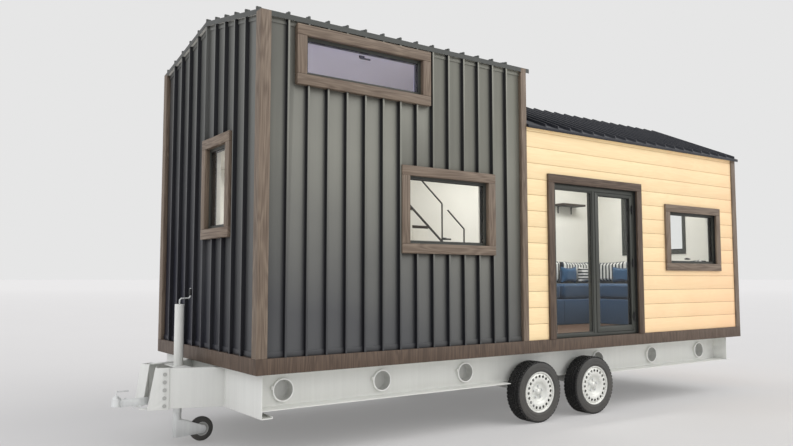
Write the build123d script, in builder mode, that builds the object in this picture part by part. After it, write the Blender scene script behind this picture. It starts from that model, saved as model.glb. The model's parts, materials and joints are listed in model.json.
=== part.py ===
from build123d import *
import math
import os

# A tiny house on a two-axle trailer chassis, in millimetres.
# +X runs from the coupling to the rear, the door side faces -Y, and the ground is at z = 0.

# overall sizes of the house
tall_len = 3051
living_len = 3989
house_wid = 2500
deck_z = 722
skirt_h = 130
skirt_thk = 30
tongue_reach = 785
verge_over = 30
eave_over = 30

# roof heights above the underside of the skirt
tall_eave = 2999
tall_ridge = 3246
living_eave = 2398
living_ridge = 2975
roof_skin = 35
ceiling_thk = 70

# depths measured inwards from the outer face of the skirt
rib_face = 2
panel_face = 40
sheet_thk = 2
board_face = 14
lining_face = 150
step_thk = 100
header_z = 2250
roof_lap = 6

# ribbed metal sheet
side_rib_pitch = 193
side_rib_first = 260
living_rib_last = 58
end_rib_pitch = 230
rib_clear = 60
rib_wid = 18
roof_rib_h = 34
flashing_h = 48
flashing_proud = 10

# timber trim
post_wid = 96
boundary_post_wid = 75
trim_wid = 92
trim_proud = 12

# windows: outer edges of the timber surround, along the wall and above the underside of the skirt,
# in the living section behind the place where it starts
loft_window = (335, 1765, 2419, 2941)
kitchen_window = (1425, 2587, 1006, 1825)
living_window_edges = (2380, 3567, 872, 1693)
hitch_window = (607, 1268, 1140, 2080)
rear_window = (640, 1820, 1080, 2110)
window_frame_wid = 50
window_frame_face = 32
window_frame_depth = 70
glass_thk = 24

# door, behind the place where the living section starts
door_edges = (307, 1910, 130, 1903)
door_mullion = (1059, 1099)
door_jamb_wid = 50
door_sill_h = 35
door_frame_face = 32
door_frame_depth = 78
door_stile_wid = 66
door_bottom_rail = 90
leaf_thk = 56
leaf_gap = 5
leaf_free_gap = 10
leaf_stop = 14
leaf_stop_gap = 6
sash_step = 8
fixed_stile_wid = 40
hinge_pin_r = 4
hinge_knuckle_r = 8
hinge_knuckle_len = 34
hinge_axis_out = 10
hinge_plate_thk = 4
hinge_plate_wid = 32
hinge_play = 1
hinge_heights = (330, 960, 1590)
running_fit = 0.05
handle_height = 1000
handle_len = 120
handle_r = 9
handle_reach = 42

# chassis, heights below the underside of the skirt
steel = 6
front_member_x = 80
member_depth = 362
member_flange = 100
member_lip = 20
member_end = 60
rail_web_y = 250
rail_flange_y = 70
rail_depth = 300
rear_member_in = 260
hole_pitch = 1010
hole_first = 355
hole_hidden = 3
hole_z = 165
hole_r = 88
collar_r = 98
collar_out = 26
inner_member_x = (860, 1870, 2640, 4700, 5700)
inner_member_depth = 120
inner_member_flange = 50
wheel_bay_clear = 45

# drawbar
arm_angle = 20.7
arm_spread = 413
arm_len = 512
arm_top = 12
arm_depth = 348
arm_flange = 60
arm_steel = 8
gusset_thk = 10
gusset_back = 470
gusset_top = 590
gusset_bottom = 652
gusset_flange = 110
gusset_bolt = 508
bolt_count = 5
bolt_pitch = 68
bolt_top = 62
bolt_r = 11
bolt_h = 7
foot_len = 70
foot_wid = 60
foot_thk = 8

# coupling
tube_side = 60
tube_wall = 4
tube_front = -698
tube_back = -400
nose_plate_thk = 8
nose_plate_front = 630
nose_plate_back = 500
head_front = -785
head_r = 38
head_x = -742
head_low = 340
head_h = 92
head_crown = 22
ball_r = 25
ball_depth = 42
brim_thk = 8
clamp_thk = 10
lever_post_r = 7
lever_rod_r = 5
lever_top = 205
lever_back = -636

# jockey wheel
jockey_x = -200
jockey_tube_r = 42.5
jockey_wall = 4
jockey_top = 539
jockey_low = -300
jockey_fit = 0.08
leg_wall = 8.5
leg_low = -440
leg_high = 100
fork_low = -662
fork_pin_r = 15
fork_pin_len = 60
fork_gap = 1
fork_reach = 228
cheek_thk = 6
cheek_in = 32
cheek_round = 36
cheek_high = -505
jockey_wheel_r = 110
jockey_wheel_wid = 50
jockey_hub_r = 62
jockey_shoulder = 12
jockey_axle_r = 8
hub_recess_mid = 38
hub_recess_wid = 31
hub_recess_depth = 9
bracket_thk = 10
bracket_wid = 120
crank_rod_r = 7
crank_reach = 100
crank_rise = 52
crank_bend = 16
grip_r = 13
grip_len = 62

# road wheels
axle_x = (3207, 4072)
tyre_r = 315
tyre_wid = 195
rim_r = 203
wheel_face = 2
stub_r = 22
drum_r = 118
vent_count = 20
vent_r = 12
vent_ring = 162
rim_wall = 6
rim_lip = 6
rim_lip_h = 7
rim_inset = 8
bead_clear = 0.3
sidewall_in = 1
tread_edge = 23
shoulder_in = 8
shoulder_h = 12
tread_grooves = (76, 119)
tread_groove = 9
dish_profile = ((200, 26), (179, 12), (112, 12), (88, 40), (0, 40))
hub_face = 40
hub_cap_out = 16
hub_cap_r = 34
bore_start = 66
drum_back = 178
beam_side = 80
arm_lead = 160
arm_thk = 30
arm_clear = 9

# inside: the stair along the house from where the living section starts, the rest from the rear
loft_thk = 80
stair_wid = 600
stair_rise = 216
stair_run = 254
stair_steps = 9
stair_start = 1309
tread_thk = 28
rail_height = 500
rail_bar_r = 10
rail_inset = 16
rail_post_starts = (-571, 267, 631)
shelf_ends = (1050, 551)
shelf_deep = 210
shelf_z = 1890
shelf_thk = 30
sofa_deep = 770
sofa_end = 2340
sofa_return = 1050
sofa_near = 330
sofa_base_top = 480
sofa_seat_top = 700
sofa_back_top = 1050
cushion_gap = 6
cushion_count = 2
back_cushion_thk = 170
soft_clear = 0.3
pillow_thk = 125
pillow_top = 960
pillows_back = ((1180, 820), (780, 420))
pillow_rear = (990, 550)

# places in the part's own frame
house_len = tall_len + living_len
overall_len = tongue_reach + house_len + verge_over
front_x = tongue_reach - overall_len / 2
near_y = -house_wid / 2
floor_z = deck_z + skirt_h
arm_slope = math.radians(arm_angle)


def at_x(distance):
    """The place that lies this far behind the front face of the house."""
    return front_x + distance


def in_living(edges):
    """Edges of an opening in the living section, measured from the front face of the house."""
    return (tall_len + edges[0], tall_len + edges[1], edges[2], edges[3])


def at_y(depth):
    """The place that lies this far inwards from the door-side face of the skirt."""
    return near_y + depth


def at_z(height):
    """The height above ground of a level given above the underside of the skirt."""
    return deck_z + height


def tall_roof_z(y, drop=0):
    """Top of the tall roof over a place across the house, less a drop."""
    slope = (tall_ridge - tall_eave) / (house_wid / 2)
    return at_z(tall_eave) + slope * (house_wid / 2 - abs(y)) - drop


def living_roof_z(y, drop=0):
    """Top of the lower roof over a place across the house, less a drop."""
    half = house_wid / 2 + eave_over
    slope = (living_ridge - living_eave) / half
    return at_z(living_eave) + slope * (half - abs(y)) - drop


def block(x_span, y_span, z_span, mode=Mode.ADD):
    """Add a straight block between two places along each axis."""
    spans = (x_span, y_span, z_span)
    middle = tuple((low + high) / 2 for low, high in spans)
    size = tuple(high - low for low, high in spans)
    with Locations(middle):
        Box(*size, mode=mode)


def panel(u_span, v_span, mode=Mode.ADD):
    """Add a rectangle to the sketch between two places along each of its axes."""
    with Locations(((u_span[0] + u_span[1]) / 2, (v_span[0] + v_span[1]) / 2)):
        Rectangle(u_span[1] - u_span[0], v_span[1] - v_span[0], mode=mode)


def write(piece, name):
    """Label a finished piece and write it to its own file."""
    piece.part.label = name
    export_step(piece.part, f"parts/{name}.step")


def side_rect(edges, inset=0):
    """Edges of an opening in a long wall, in the part's frame, drawn in by an inset."""
    u_span = (at_x(edges[0] + inset), at_x(edges[1] - inset))
    return u_span, (at_z(edges[2] + inset), at_z(edges[3] - inset))


def end_rect(edges, inset=0):
    """Edges of an opening in an end wall, in the part's frame, drawn in by an inset."""
    u_span = (at_y(edges[0] + inset), at_y(edges[1] - inset))
    return u_span, (at_z(edges[2] + inset), at_z(edges[3] - inset))


def cut_side(edges, inset, depth_from, depth_to):
    """Cut an opening through a long wall on the door side."""
    u_span, v_span = side_rect(edges, inset)
    block(u_span, (at_y(depth_from), at_y(depth_to)), v_span, mode=Mode.SUBTRACT)


def across(points, x_start, length):
    """Extrude a cross-section of the house, given as (y, z) points, along its length."""
    with BuildPart() as piece:
        with BuildSketch(Plane.YZ.offset(x_start)):
            Polygon(*points, align=None)
        extrude(amount=length)
    return piece.part


os.makedirs("parts", exist_ok=True)
wall_depth = panel_face + sheet_thk
wall_out_y = at_y(wall_depth)
wall_in_y = at_y(lining_face)
board_y = at_y(board_face)
tall_end_x = at_x(tall_len)
rear_x = at_x(house_len)
living_window = in_living(living_window_edges)
door_outer = in_living(door_edges)

# Chassis: lipped channel members, open towards the rear

with BuildPart() as front_crossmember:
    with BuildSketch(Plane.XZ.offset(-at_y(member_end))):
        web_x = at_x(front_member_x)
        panel((web_x, web_x + member_flange), (at_z(-member_depth), at_z(0)))
        panel((web_x + steel, web_x + member_flange),
              (at_z(-member_depth + steel), at_z(-steel)), mode=Mode.SUBTRACT)
        panel((web_x + member_flange - steel, web_x + member_flange),
              (at_z(-member_depth), at_z(-member_depth + member_lip)))
    extrude(amount=-(house_wid - 2 * member_end))
write(front_crossmember, "front_crossmember")

wheel_bay = (at_x(axle_x[0] - tyre_r - wheel_bay_clear), at_x(axle_x[1] + tyre_r + wheel_bay_clear))
rear_member_x = house_len - rear_member_in
hole_count = int((rear_member_x - hole_first) / hole_pitch) + 1
hole_places = [hole_first + hole_pitch * step for step in range(hole_count) if step != hole_hidden]

with BuildPart() as side_rails:
    rail_start = at_x(front_member_x) + steel
    rail_end = at_x(rear_member_x)
    with BuildSketch(Plane.YZ.offset(rail_start)):
        panel((at_y(rail_flange_y), at_y(rail_web_y + steel)), (at_z(-rail_depth), at_z(0)))
        panel((at_y(rail_flange_y), at_y(rail_web_y)),
              (at_z(-rail_depth + steel), at_z(-steel)), mode=Mode.SUBTRACT)
    extrude(amount=rail_end - rail_start)
    block((rail_start, at_x(front_member_x) + member_flange), (at_y(rail_flange_y), at_y(rail_web_y + steel)),
          (at_z(-steel), at_z(0)), mode=Mode.SUBTRACT)
    block(wheel_bay, (at_y(rail_flange_y), at_y(rail_web_y - arm_clear)),
          (at_z(-rail_depth), at_z(-rail_depth + steel)), mode=Mode.SUBTRACT)
    with BuildSketch(Plane.XZ.offset(-at_y(rail_web_y - collar_out))):
        with Locations(*[(at_x(place), at_z(-hole_z)) for place in hole_places]):
            Circle(collar_r)
    extrude(amount=-(collar_out + steel))
    with BuildSketch(Plane.XZ.offset(-at_y(rail_web_y - collar_out))):
        with Locations(*[(at_x(place), at_z(-hole_z)) for place in hole_places]):
            Circle(hole_r)
    extrude(amount=-(collar_out + steel), mode=Mode.SUBTRACT)
    mirror(about=Plane.XZ)
write(side_rails, "side_rails")

with BuildPart() as cross_members:
    with BuildSketch(Plane.XZ.offset(-at_y(member_end))):
        web_x = at_x(rear_member_x)
        panel((web_x, web_x + member_flange), (at_z(-rail_depth), at_z(0)))
        panel((web_x + steel, web_x + member_flange),
              (at_z(-rail_depth + steel), at_z(-steel)), mode=Mode.SUBTRACT)
    extrude(amount=-(house_wid - 2 * member_end))
    for member_x in inner_member_x:
        with BuildSketch(Plane.XZ.offset(-at_y(rail_web_y + steel))):
            web_x = at_x(member_x)
            panel((web_x, web_x + inner_member_flange), (at_z(-inner_member_depth), at_z(0)))
            panel((web_x + steel, web_x + inner_member_flange),
                  (at_z(-inner_member_depth + steel), at_z(-steel)), mode=Mode.SUBTRACT)
        extrude(amount=-(house_wid - 2 * (rail_web_y + steel)))
write(cross_members, "cross_members")

# Drawbar: two converging channels with bolted plates at their front ends.
# The arm plane has its first axis forwards along the arm and its second axis upwards.

arm_plane = Plane(
    origin=(at_x(front_member_x), -arm_spread, 0),
    x_dir=(-math.cos(arm_slope), math.sin(arm_slope), 0),
    z_dir=(math.sin(arm_slope), math.cos(arm_slope), 0),
)
arm_low_z = at_z(-arm_top - arm_depth)
arm_high_z = at_z(-arm_top)

with BuildPart() as drawbar_arms:
    with BuildSketch(arm_plane):
        panel((-arm_flange, arm_len), (arm_low_z, arm_high_z))
    extrude(amount=arm_flange)
    with BuildSketch(arm_plane.offset(arm_steel)):
        panel((-arm_flange, arm_len), (arm_low_z + arm_steel, arm_high_z - arm_steel))
    extrude(amount=arm_flange, mode=Mode.SUBTRACT)
    block((at_x(front_member_x), at_x(front_member_x + 2 * arm_flange)), (-arm_spread - arm_flange, 0),
          (arm_low_z, arm_high_z), mode=Mode.SUBTRACT)
    mirror(about=Plane.XZ)
write(drawbar_arms, "drawbar_arms")

with BuildPart() as drawbar_gussets:
    with BuildSketch(arm_plane.offset(-gusset_thk)):
        Polygon(
            (gusset_back, arm_low_z - gusset_thk),
            (gusset_bottom, arm_low_z - gusset_thk),
            (gusset_top, arm_high_z + steel),
            (gusset_back, arm_high_z + steel),
            align=None,
        )
    extrude(amount=gusset_thk)
    with BuildSketch(arm_plane):
        Polygon(
            (gusset_bottom - gusset_thk, arm_low_z - gusset_thk),
            (gusset_bottom, arm_low_z - gusset_thk),
            (gusset_top, arm_high_z + steel),
            (gusset_top - gusset_thk, arm_high_z + steel),
            align=None,
        )
    extrude(amount=gusset_flange)
    with BuildSketch(arm_plane.offset(gusset_flange - foot_wid)):
        panel((gusset_bottom - gusset_thk, gusset_bottom + foot_len),
              (arm_low_z - gusset_thk, arm_low_z - gusset_thk + foot_thk))
    extrude(amount=foot_wid)
    with BuildSketch(arm_plane.offset(-gusset_thk)):
        for row in range(bolt_count):
            with Locations((gusset_bolt, at_z(-bolt_top - bolt_pitch * row))):
                RegularPolygon(bolt_r, 6)
    extrude(amount=-bolt_h)
    mirror(about=Plane.XZ)
write(drawbar_gussets, "drawbar_gussets")

jockey_at = at_x(jockey_x)


def web_inner_y(distance):
    """The inner face of the near arm's web at a place along the trailer."""
    outer_y = -arm_spread + (front_member_x - distance) * math.tan(arm_slope)
    return outer_y + arm_steel / math.cos(arm_slope)


with BuildPart() as jockey_bracket:
    edges = [jockey_x + way * bracket_wid / 2 for way in (-1, 1)]
    ends = [(at_x(edge), web_inner_y(edge)) for edge in edges]
    far_ends = [(x, -y) for x, y in reversed(ends)]
    for level in (-arm_top - arm_steel - bracket_thk, jockey_low):
        with BuildSketch(Plane.XY.offset(at_z(level))):
            Polygon(*ends, *far_ends, align=None)
            with Locations((jockey_at, 0)):
                Circle(jockey_tube_r, mode=Mode.SUBTRACT)
        extrude(amount=bracket_thk)
write(jockey_bracket, "jockey_bracket")

# Coupling: a square tube on a plate between the gussets, with a ball head

nose_plate_z = arm_low_z + arm_steel
tube_low_z = nose_plate_z + nose_plate_thk


def arm_place(along, inwards):
    """The place in plan that lies this far along the near arm and this far in from its outer face."""
    spot = arm_plane.origin + arm_plane.x_dir * along + arm_plane.z_dir * inwards
    return (spot.X, spot.Y)


with BuildPart() as coupling_tube:
    tube_span_z = (tube_low_z, tube_low_z + tube_side)
    with BuildSketch(Plane.YZ.offset(at_x(tube_front))):
        panel((-tube_side / 2, tube_side / 2), tube_span_z)
        panel((-tube_side / 2 + tube_wall, tube_side / 2 - tube_wall),
              (tube_span_z[0] + tube_wall, tube_span_z[1] - tube_wall), mode=Mode.SUBTRACT)
    extrude(amount=tube_back - tube_front)
    near_edge = (
        arm_place(nose_plate_back, arm_steel),
        arm_place(nose_plate_front, arm_steel),
        arm_place(nose_plate_front, gusset_flange),
    )
    far_edge = [(x, -y) for x, y in reversed(near_edge)]
    with BuildSketch(Plane.XY.offset(nose_plate_z)):
        Polygon(*near_edge, *far_edge, align=None)
    extrude(amount=nose_plate_thk)
write(coupling_tube, "coupling_tube")

with BuildPart() as coupling_head:
    head_low_z = at_z(-head_low)
    head_at = at_x(head_x)
    neck_low = tube_low_z + tube_wall
    neck_high = tube_low_z + tube_side - tube_wall
    with BuildSketch(Plane.XY.offset(head_low_z)):
        with Locations((head_at, 0)):
            Circle(head_at - at_x(head_front))
    extrude(amount=brim_thk)
    with BuildSketch(Plane.XZ):
        panel((head_at, head_at + head_r), (head_low_z, head_low_z + head_h))
        chamfer(vertices().sort_by(Axis.X)[-2:].sort_by(Axis.Y)[-1:], head_crown)
    revolve(axis=Axis((head_at, 0, 0), (0, 0, 1)))
    block((head_at, at_x(tube_front)), (-tube_side / 2 + tube_wall, tube_side / 2 - tube_wall),
          (neck_low, neck_high))
    block((at_x(tube_front) - clamp_thk, at_x(tube_front)),
          (-tube_side / 2 - tube_wall, tube_side / 2 + tube_wall),
          (neck_low - 2 * tube_wall, neck_high + 2 * tube_wall))
    with BuildSketch(Plane.XY.offset(head_low_z)):
        with Locations((head_at, 0)):
            Circle(ball_r)
    extrude(amount=ball_depth, mode=Mode.SUBTRACT)
    with BuildSketch(Plane.XY.offset(head_low_z + head_h - lever_post_r)):
        with Locations((head_at, 0)):
            Circle(lever_post_r)
    extrude(amount=at_z(-lever_top) - (head_low_z + head_h - lever_post_r))
    with BuildSketch(Plane.YZ.offset(head_at)):
        with Locations((0, at_z(-lever_top) - lever_post_r)):
            Circle(lever_rod_r)
    extrude(amount=at_x(lever_back) - head_at)
write(coupling_head, "coupling_head")

# Axles: a beam under the rails, trailing arms and stub shafts

axle_z = tyre_r
beam_high_z = at_z(-rail_depth)
arm_in = at_y(rail_web_y - arm_clear)
arm_out = arm_in - arm_thk

with BuildPart() as axles:
    for wheel_x in axle_x:
        beam_x = at_x(wheel_x - arm_lead)
        block((beam_x - beam_side / 2, beam_x + beam_side / 2), (arm_in, -arm_in),
              (beam_high_z - beam_side, beam_high_z))
        with BuildSketch(Plane.XZ.offset(-arm_in)):
            Polygon(
                (beam_x - beam_side / 2, beam_high_z - beam_side),
                (at_x(wheel_x), axle_z - 2 * stub_r),
                (at_x(wheel_x) + stub_r, axle_z + 2 * stub_r),
                (beam_x + beam_side / 2, beam_high_z),
                (beam_x - beam_side / 2, beam_high_z),
                align=None,
            )
            with Locations((at_x(wheel_x), axle_z)):
                Circle(2 * stub_r)
        extrude(amount=arm_thk)
        with BuildSketch(Plane.XZ.offset(-arm_out)):
            with Locations((at_x(wheel_x), axle_z)):
                Circle(stub_r)
        extrude(amount=arm_out - at_y(wheel_face + bore_start + rim_wall))
    mirror(about=Plane.XZ)
write(axles, "axles")


# Road wheels, each turned about its own axle line


def tyre_part(wheel_x):
    """A near-side tyre with grooves round its tread."""
    face = at_y(wheel_face)
    centre = at_x(wheel_x)
    bead = centre + rim_r + bead_clear
    lip_edge = centre + rim_r + rim_lip_h + bead_clear
    bead_in = rim_inset + rim_lip + bead_clear
    wall = centre + (rim_r + tyre_r) / 2
    shoulder = centre + tyre_r - shoulder_h
    tread = centre + tyre_r
    with BuildPart() as piece:
        with BuildSketch(Plane.XY.offset(axle_z)):
            profile = ((bead, bead_in), (lip_edge, bead_in), (wall, sidewall_in), (shoulder, shoulder_in),
                       (tread, tread_edge))
            outer = [(x, face + depth) for x, depth in profile]
            inner = [(x, face + tyre_wid - depth) for x, depth in reversed(profile)]
            Polygon(*outer, *inner, align=None)
            for groove in tread_grooves:
                with Locations((tread, face + groove)):
                    Rectangle(2 * tread_groove, tread_groove, mode=Mode.SUBTRACT)
        revolve(axis=Axis((centre, 0, axle_z), (0, 1, 0)))
    return piece


def rim_part(wheel_x):
    """A near-side pressed steel wheel with its vent holes and brake drum."""
    face = at_y(wheel_face)
    centre = at_x(wheel_x)
    barrel_front = face + rim_inset
    barrel_back = face + tyre_wid - rim_inset - rim_lip
    with BuildPart() as piece:
        with BuildSketch(Plane.XY.offset(axle_z)):
            Polygon(
                (centre + rim_r - rim_wall, barrel_front),
                (centre + rim_r + rim_lip_h, barrel_front),
                (centre + rim_r + rim_lip_h, barrel_front + rim_lip),
                (centre + rim_r, barrel_front + rim_lip),
                (centre + rim_r, barrel_back),
                (centre + rim_r - rim_wall, barrel_back),
                align=None,
            )
            dish_front = [(centre + radius, face + depth) for radius, depth in dish_profile]
            dish_back = [(x, y + rim_wall) for x, y in reversed(dish_front)]
            Polygon(*dish_front, *dish_back, align=None)
            panel((centre, centre + hub_cap_r), (face + hub_face - hub_cap_out, face + hub_face + rim_wall))
            panel((centre, centre + drum_r), (face + hub_face + rim_wall, face + drum_back))
            panel((centre, centre + stub_r + running_fit),
                  (face + bore_start, face + drum_back), mode=Mode.SUBTRACT)
        revolve(axis=Axis((centre, 0, axle_z), (0, 1, 0)))
        with BuildSketch(Plane.XZ.offset(-face)):
            with Locations((centre, axle_z)):
                with PolarLocations(vent_ring, vent_count):
                    Circle(vent_r)
        extrude(amount=-hub_face, mode=Mode.SUBTRACT)
    return piece


for place, wheel_x in zip(("front", "rear"), axle_x):
    near_tyre = tyre_part(wheel_x)
    write(near_tyre, f"tyre_{place}_near")
    near_rim = rim_part(wheel_x)
    write(near_rim, f"rim_{place}_near")
    with BuildPart() as far_tyre:
        mirror(near_tyre.part, about=Plane.XZ)
    write(far_tyre, f"tyre_{place}_far")
    with BuildPart() as far_rim:
        mirror(near_rim.part, about=Plane.XZ)
    write(far_rim, f"rim_{place}_far")

# Jockey wheel: outer tube, sliding leg, swivelling fork, wheel and crank

jockey_bore_r = jockey_tube_r - jockey_wall

with BuildPart() as jockey_tube:
    with BuildSketch(Plane.XY.offset(at_z(jockey_low))):
        with Locations((jockey_at, 0)):
            Circle(jockey_tube_r)
    extrude(amount=jockey_top - jockey_low)
    with BuildSketch(Plane.XY.offset(at_z(jockey_low))):
        with Locations((jockey_at, 0)):
            Circle(jockey_bore_r)
    extrude(amount=jockey_top - jockey_low - steel, mode=Mode.SUBTRACT)
    with BuildSketch(Plane.XY.offset(at_z(jockey_top - steel))):
        with Locations((jockey_at, 0)):
            Circle(crank_rod_r + running_fit)
    extrude(amount=steel, mode=Mode.SUBTRACT)
write(jockey_tube, "jockey_tube")

with BuildPart() as jockey_leg:
    with BuildSketch(Plane.XY.offset(at_z(leg_low))):
        with Locations((jockey_at, 0)):
            Circle(jockey_bore_r - jockey_fit)
    extrude(amount=leg_high - leg_low)
    with BuildSketch(Plane.XY.offset(at_z(leg_low + fork_pin_len + steel))):
        with Locations((jockey_at, 0)):
            Circle(jockey_bore_r - leg_wall)
    extrude(amount=leg_high - leg_low, mode=Mode.SUBTRACT)
    with BuildSketch(Plane.XY.offset(at_z(leg_low))):
        with Locations((jockey_at, 0)):
            Circle(fork_pin_r + running_fit)
    extrude(amount=fork_pin_len + steel, mode=Mode.SUBTRACT)
write(jockey_leg, "jockey_leg")

jockey_wheel_x = jockey_at + fork_reach

with BuildPart() as jockey_fork:
    with BuildSketch(Plane.XY.offset(at_z(fork_low))):
        with Locations((jockey_at, 0)):
            Circle(jockey_bore_r - 1)
    extrude(amount=leg_low - fork_gap - fork_low)
    with BuildSketch(Plane.XY.offset(at_z(leg_low - fork_gap))):
        with Locations((jockey_at, 0)):
            Circle(fork_pin_r)
    extrude(amount=fork_pin_len)
    with BuildSketch(Plane.XZ.offset(-cheek_in)):
        Polygon(
            (jockey_at, at_z(fork_low)),
            (jockey_wheel_x, jockey_wheel_r - cheek_round),
            (jockey_wheel_x, jockey_wheel_r + cheek_round),
            (jockey_at + jockey_bore_r, at_z(cheek_high)),
            (jockey_at, at_z(cheek_high)),
            align=None,
        )
        with Locations((jockey_wheel_x, jockey_wheel_r)):
            Circle(cheek_round)
    extrude(amount=-cheek_thk)
    mirror(about=Plane.XZ)
    with BuildSketch(Plane.XZ.offset(-cheek_in - cheek_thk)):
        with Locations((jockey_wheel_x, jockey_wheel_r)):
            Circle(jockey_axle_r)
    extrude(amount=2 * (cheek_in + cheek_thk))
write(jockey_fork, "jockey_fork")

with BuildPart() as jockey_tyre:
    with BuildSketch(Plane.XY.offset(jockey_wheel_r)):
        half = jockey_wheel_wid / 2
        panel((jockey_wheel_x + jockey_hub_r + bead_clear, jockey_wheel_x + jockey_wheel_r), (-half, half))
        chamfer(vertices().sort_by(Axis.X)[-2:], jockey_shoulder)
    revolve(axis=Axis((jockey_wheel_x, 0, jockey_wheel_r), (0, 1, 0)))
write(jockey_tyre, "jockey_tyre")

with BuildPart() as jockey_hub:
    with BuildSketch(Plane.XY.offset(jockey_wheel_r)):
        half = jockey_wheel_wid / 2
        panel((jockey_wheel_x + jockey_axle_r + running_fit, jockey_wheel_x + jockey_hub_r), (-half, half))
        for side in (-1, 1):
            with Locations((jockey_wheel_x + hub_recess_mid, side * half)):
                Rectangle(hub_recess_wid, 2 * hub_recess_depth, mode=Mode.SUBTRACT)
    revolve(axis=Axis((jockey_wheel_x, 0, jockey_wheel_r), (0, 1, 0)))
write(jockey_hub, "jockey_hub")



def bent_path(start, *corners_and_end, bend):
    """Points of a bar's centre line whose square corners are cut by one short run each."""
    corners = [Vector(*corner) for corner in (start, *corners_and_end)]
    points = [corners[0]]
    for before, corner, after in zip(corners, corners[1:], corners[2:]):
        points.append(corner + (before - corner).normalized() * bend)
        points.append(corner + (after - corner).normalized() * bend)
    return (*points, corners[-1])


crank_low_z = at_z(jockey_top - 3 * steel)
crank_mid_z = at_z(jockey_top + crank_rise)
crank_high_z = crank_mid_z + grip_len + 2 * crank_bend

with BuildPart() as crank:
    with BuildLine():
        Polyline(*bent_path(
            (jockey_at, 0, crank_low_z),
            (jockey_at, 0, crank_mid_z),
            (jockey_at + crank_reach, 0, crank_mid_z),
            (jockey_at + crank_reach, 0, crank_high_z),
            bend=crank_bend,
        ))
    with BuildSketch(Plane.XY.offset(crank_low_z)):
        with Locations((jockey_at, 0)):
            Circle(crank_rod_r)
    sweep(transition=Transition.RIGHT)
write(crank, "crank")

with BuildPart() as crank_grip:
    with BuildSketch(Plane.XY.offset(crank_high_z - steel - grip_len)):
        with Locations((jockey_at + crank_reach, 0)):
            Circle(grip_r)
            Circle(crank_rod_r + bead_clear, mode=Mode.SUBTRACT)
    extrude(amount=grip_len)
write(crank_grip, "crank_grip")

# Platform: the timber skirt and the insulated floor inside it

with BuildPart() as skirt:
    with BuildSketch(Plane.XY.offset(deck_z)):
        panel((at_x(0), rear_x), (near_y, -near_y))
        panel((at_x(skirt_thk), rear_x - skirt_thk), (at_y(skirt_thk), -at_y(skirt_thk)), mode=Mode.SUBTRACT)
    extrude(amount=skirt_h)
write(skirt, "skirt")

with BuildPart() as floor:
    block((at_x(skirt_thk), rear_x - skirt_thk), (at_y(skirt_thk), -at_y(skirt_thk)), (deck_z, floor_z))
write(floor, "floor")

# Walls. Each long wall is a cross-section run along the house, with its openings cut through.


def long_wall(x_span, face, top, low=floor_z):
    """A door-side wall between two places along the house, with its head under the roof."""
    inner = at_y(lining_face)
    points = ((face, low), (inner, low), (inner, top(inner, roof_skin)), (face, top(face, roof_skin)))
    return across(points, x_span[0], x_span[1] - x_span[0])


def gable(half, low, top, drop):
    """Points of a gable across the house, from a level up to the underside of a roof."""
    return ((-half, low), (half, low), (half, top(half, drop)), (0, top(0, drop)), (-half, top(half, drop)))


tall_inner_x = at_x(lining_face)
rear_inner_x = at_x(house_len - lining_face)

with BuildPart() as tall_front_wall:
    add(long_wall((tall_inner_x, tall_end_x), wall_out_y, tall_roof_z))
    cut_side(loft_window, trim_wid, 0, lining_face)
    cut_side(kitchen_window, trim_wid, 0, lining_face)
write(tall_front_wall, "tall_front_wall")

with BuildPart() as tall_back_wall:
    mirror(long_wall((tall_inner_x, tall_end_x), wall_out_y, tall_roof_z), about=Plane.XZ)
write(tall_back_wall, "tall_back_wall")

with BuildPart() as hitch_end_wall:
    outline = gable(-wall_out_y, floor_z, tall_roof_z, roof_skin)
    add(across(outline, at_x(wall_depth), lining_face - wall_depth))
    hitch_rect = end_rect(hitch_window, trim_wid)
    block((at_x(0), tall_inner_x), *hitch_rect, mode=Mode.SUBTRACT)
write(hitch_end_wall, "hitch_end_wall")

with BuildPart() as step_wall:
    add(across(gable(-wall_in_y, at_z(header_z), tall_roof_z, roof_skin), tall_end_x - step_thk, step_thk))
write(step_wall, "step_wall")

door_hole = (door_outer[0] + trim_wid, door_outer[1] - trim_wid, door_outer[2], door_outer[3] - trim_wid)

with BuildPart() as living_wall_left:
    add(long_wall((tall_end_x, at_x(door_hole[0])), board_y, living_roof_z))
write(living_wall_left, "living_wall_left")

with BuildPart() as living_wall_head:
    add(long_wall((at_x(door_hole[0]), at_x(door_hole[1])), board_y, living_roof_z, at_z(door_hole[3])))
write(living_wall_head, "living_wall_head")

with BuildPart() as living_wall_right:
    add(long_wall((at_x(door_hole[1]), rear_inner_x), board_y, living_roof_z))
    cut_side(living_window, trim_wid, 0, lining_face)
write(living_wall_right, "living_wall_right")

with BuildPart() as living_back_wall:
    mirror(long_wall((tall_end_x, rear_inner_x), board_y, living_roof_z), about=Plane.XZ)
write(living_back_wall, "living_back_wall")

with BuildPart() as rear_end_wall:
    add(across(gable(-board_y, floor_z, living_roof_z, roof_skin), rear_inner_x, lining_face - board_face))
    rear_rect = end_rect(rear_window, trim_wid)
    block((rear_inner_x, rear_x), *rear_rect, mode=Mode.SUBTRACT)
write(rear_end_wall, "rear_end_wall")

# Roofs: a thin skin with standing ribs, and a lining between the walls


def roof_shell(half, top, drop_high, drop_low):
    """Points of a folded sheet across the house between two drops below the roof line."""
    return (
        (-half, top(half, drop_low)), (0, top(0, drop_low)), (half, top(half, drop_low)),
        (half, top(half, drop_high)), (0, top(0, drop_high)), (-half, top(half, drop_high)),
    )


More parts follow.
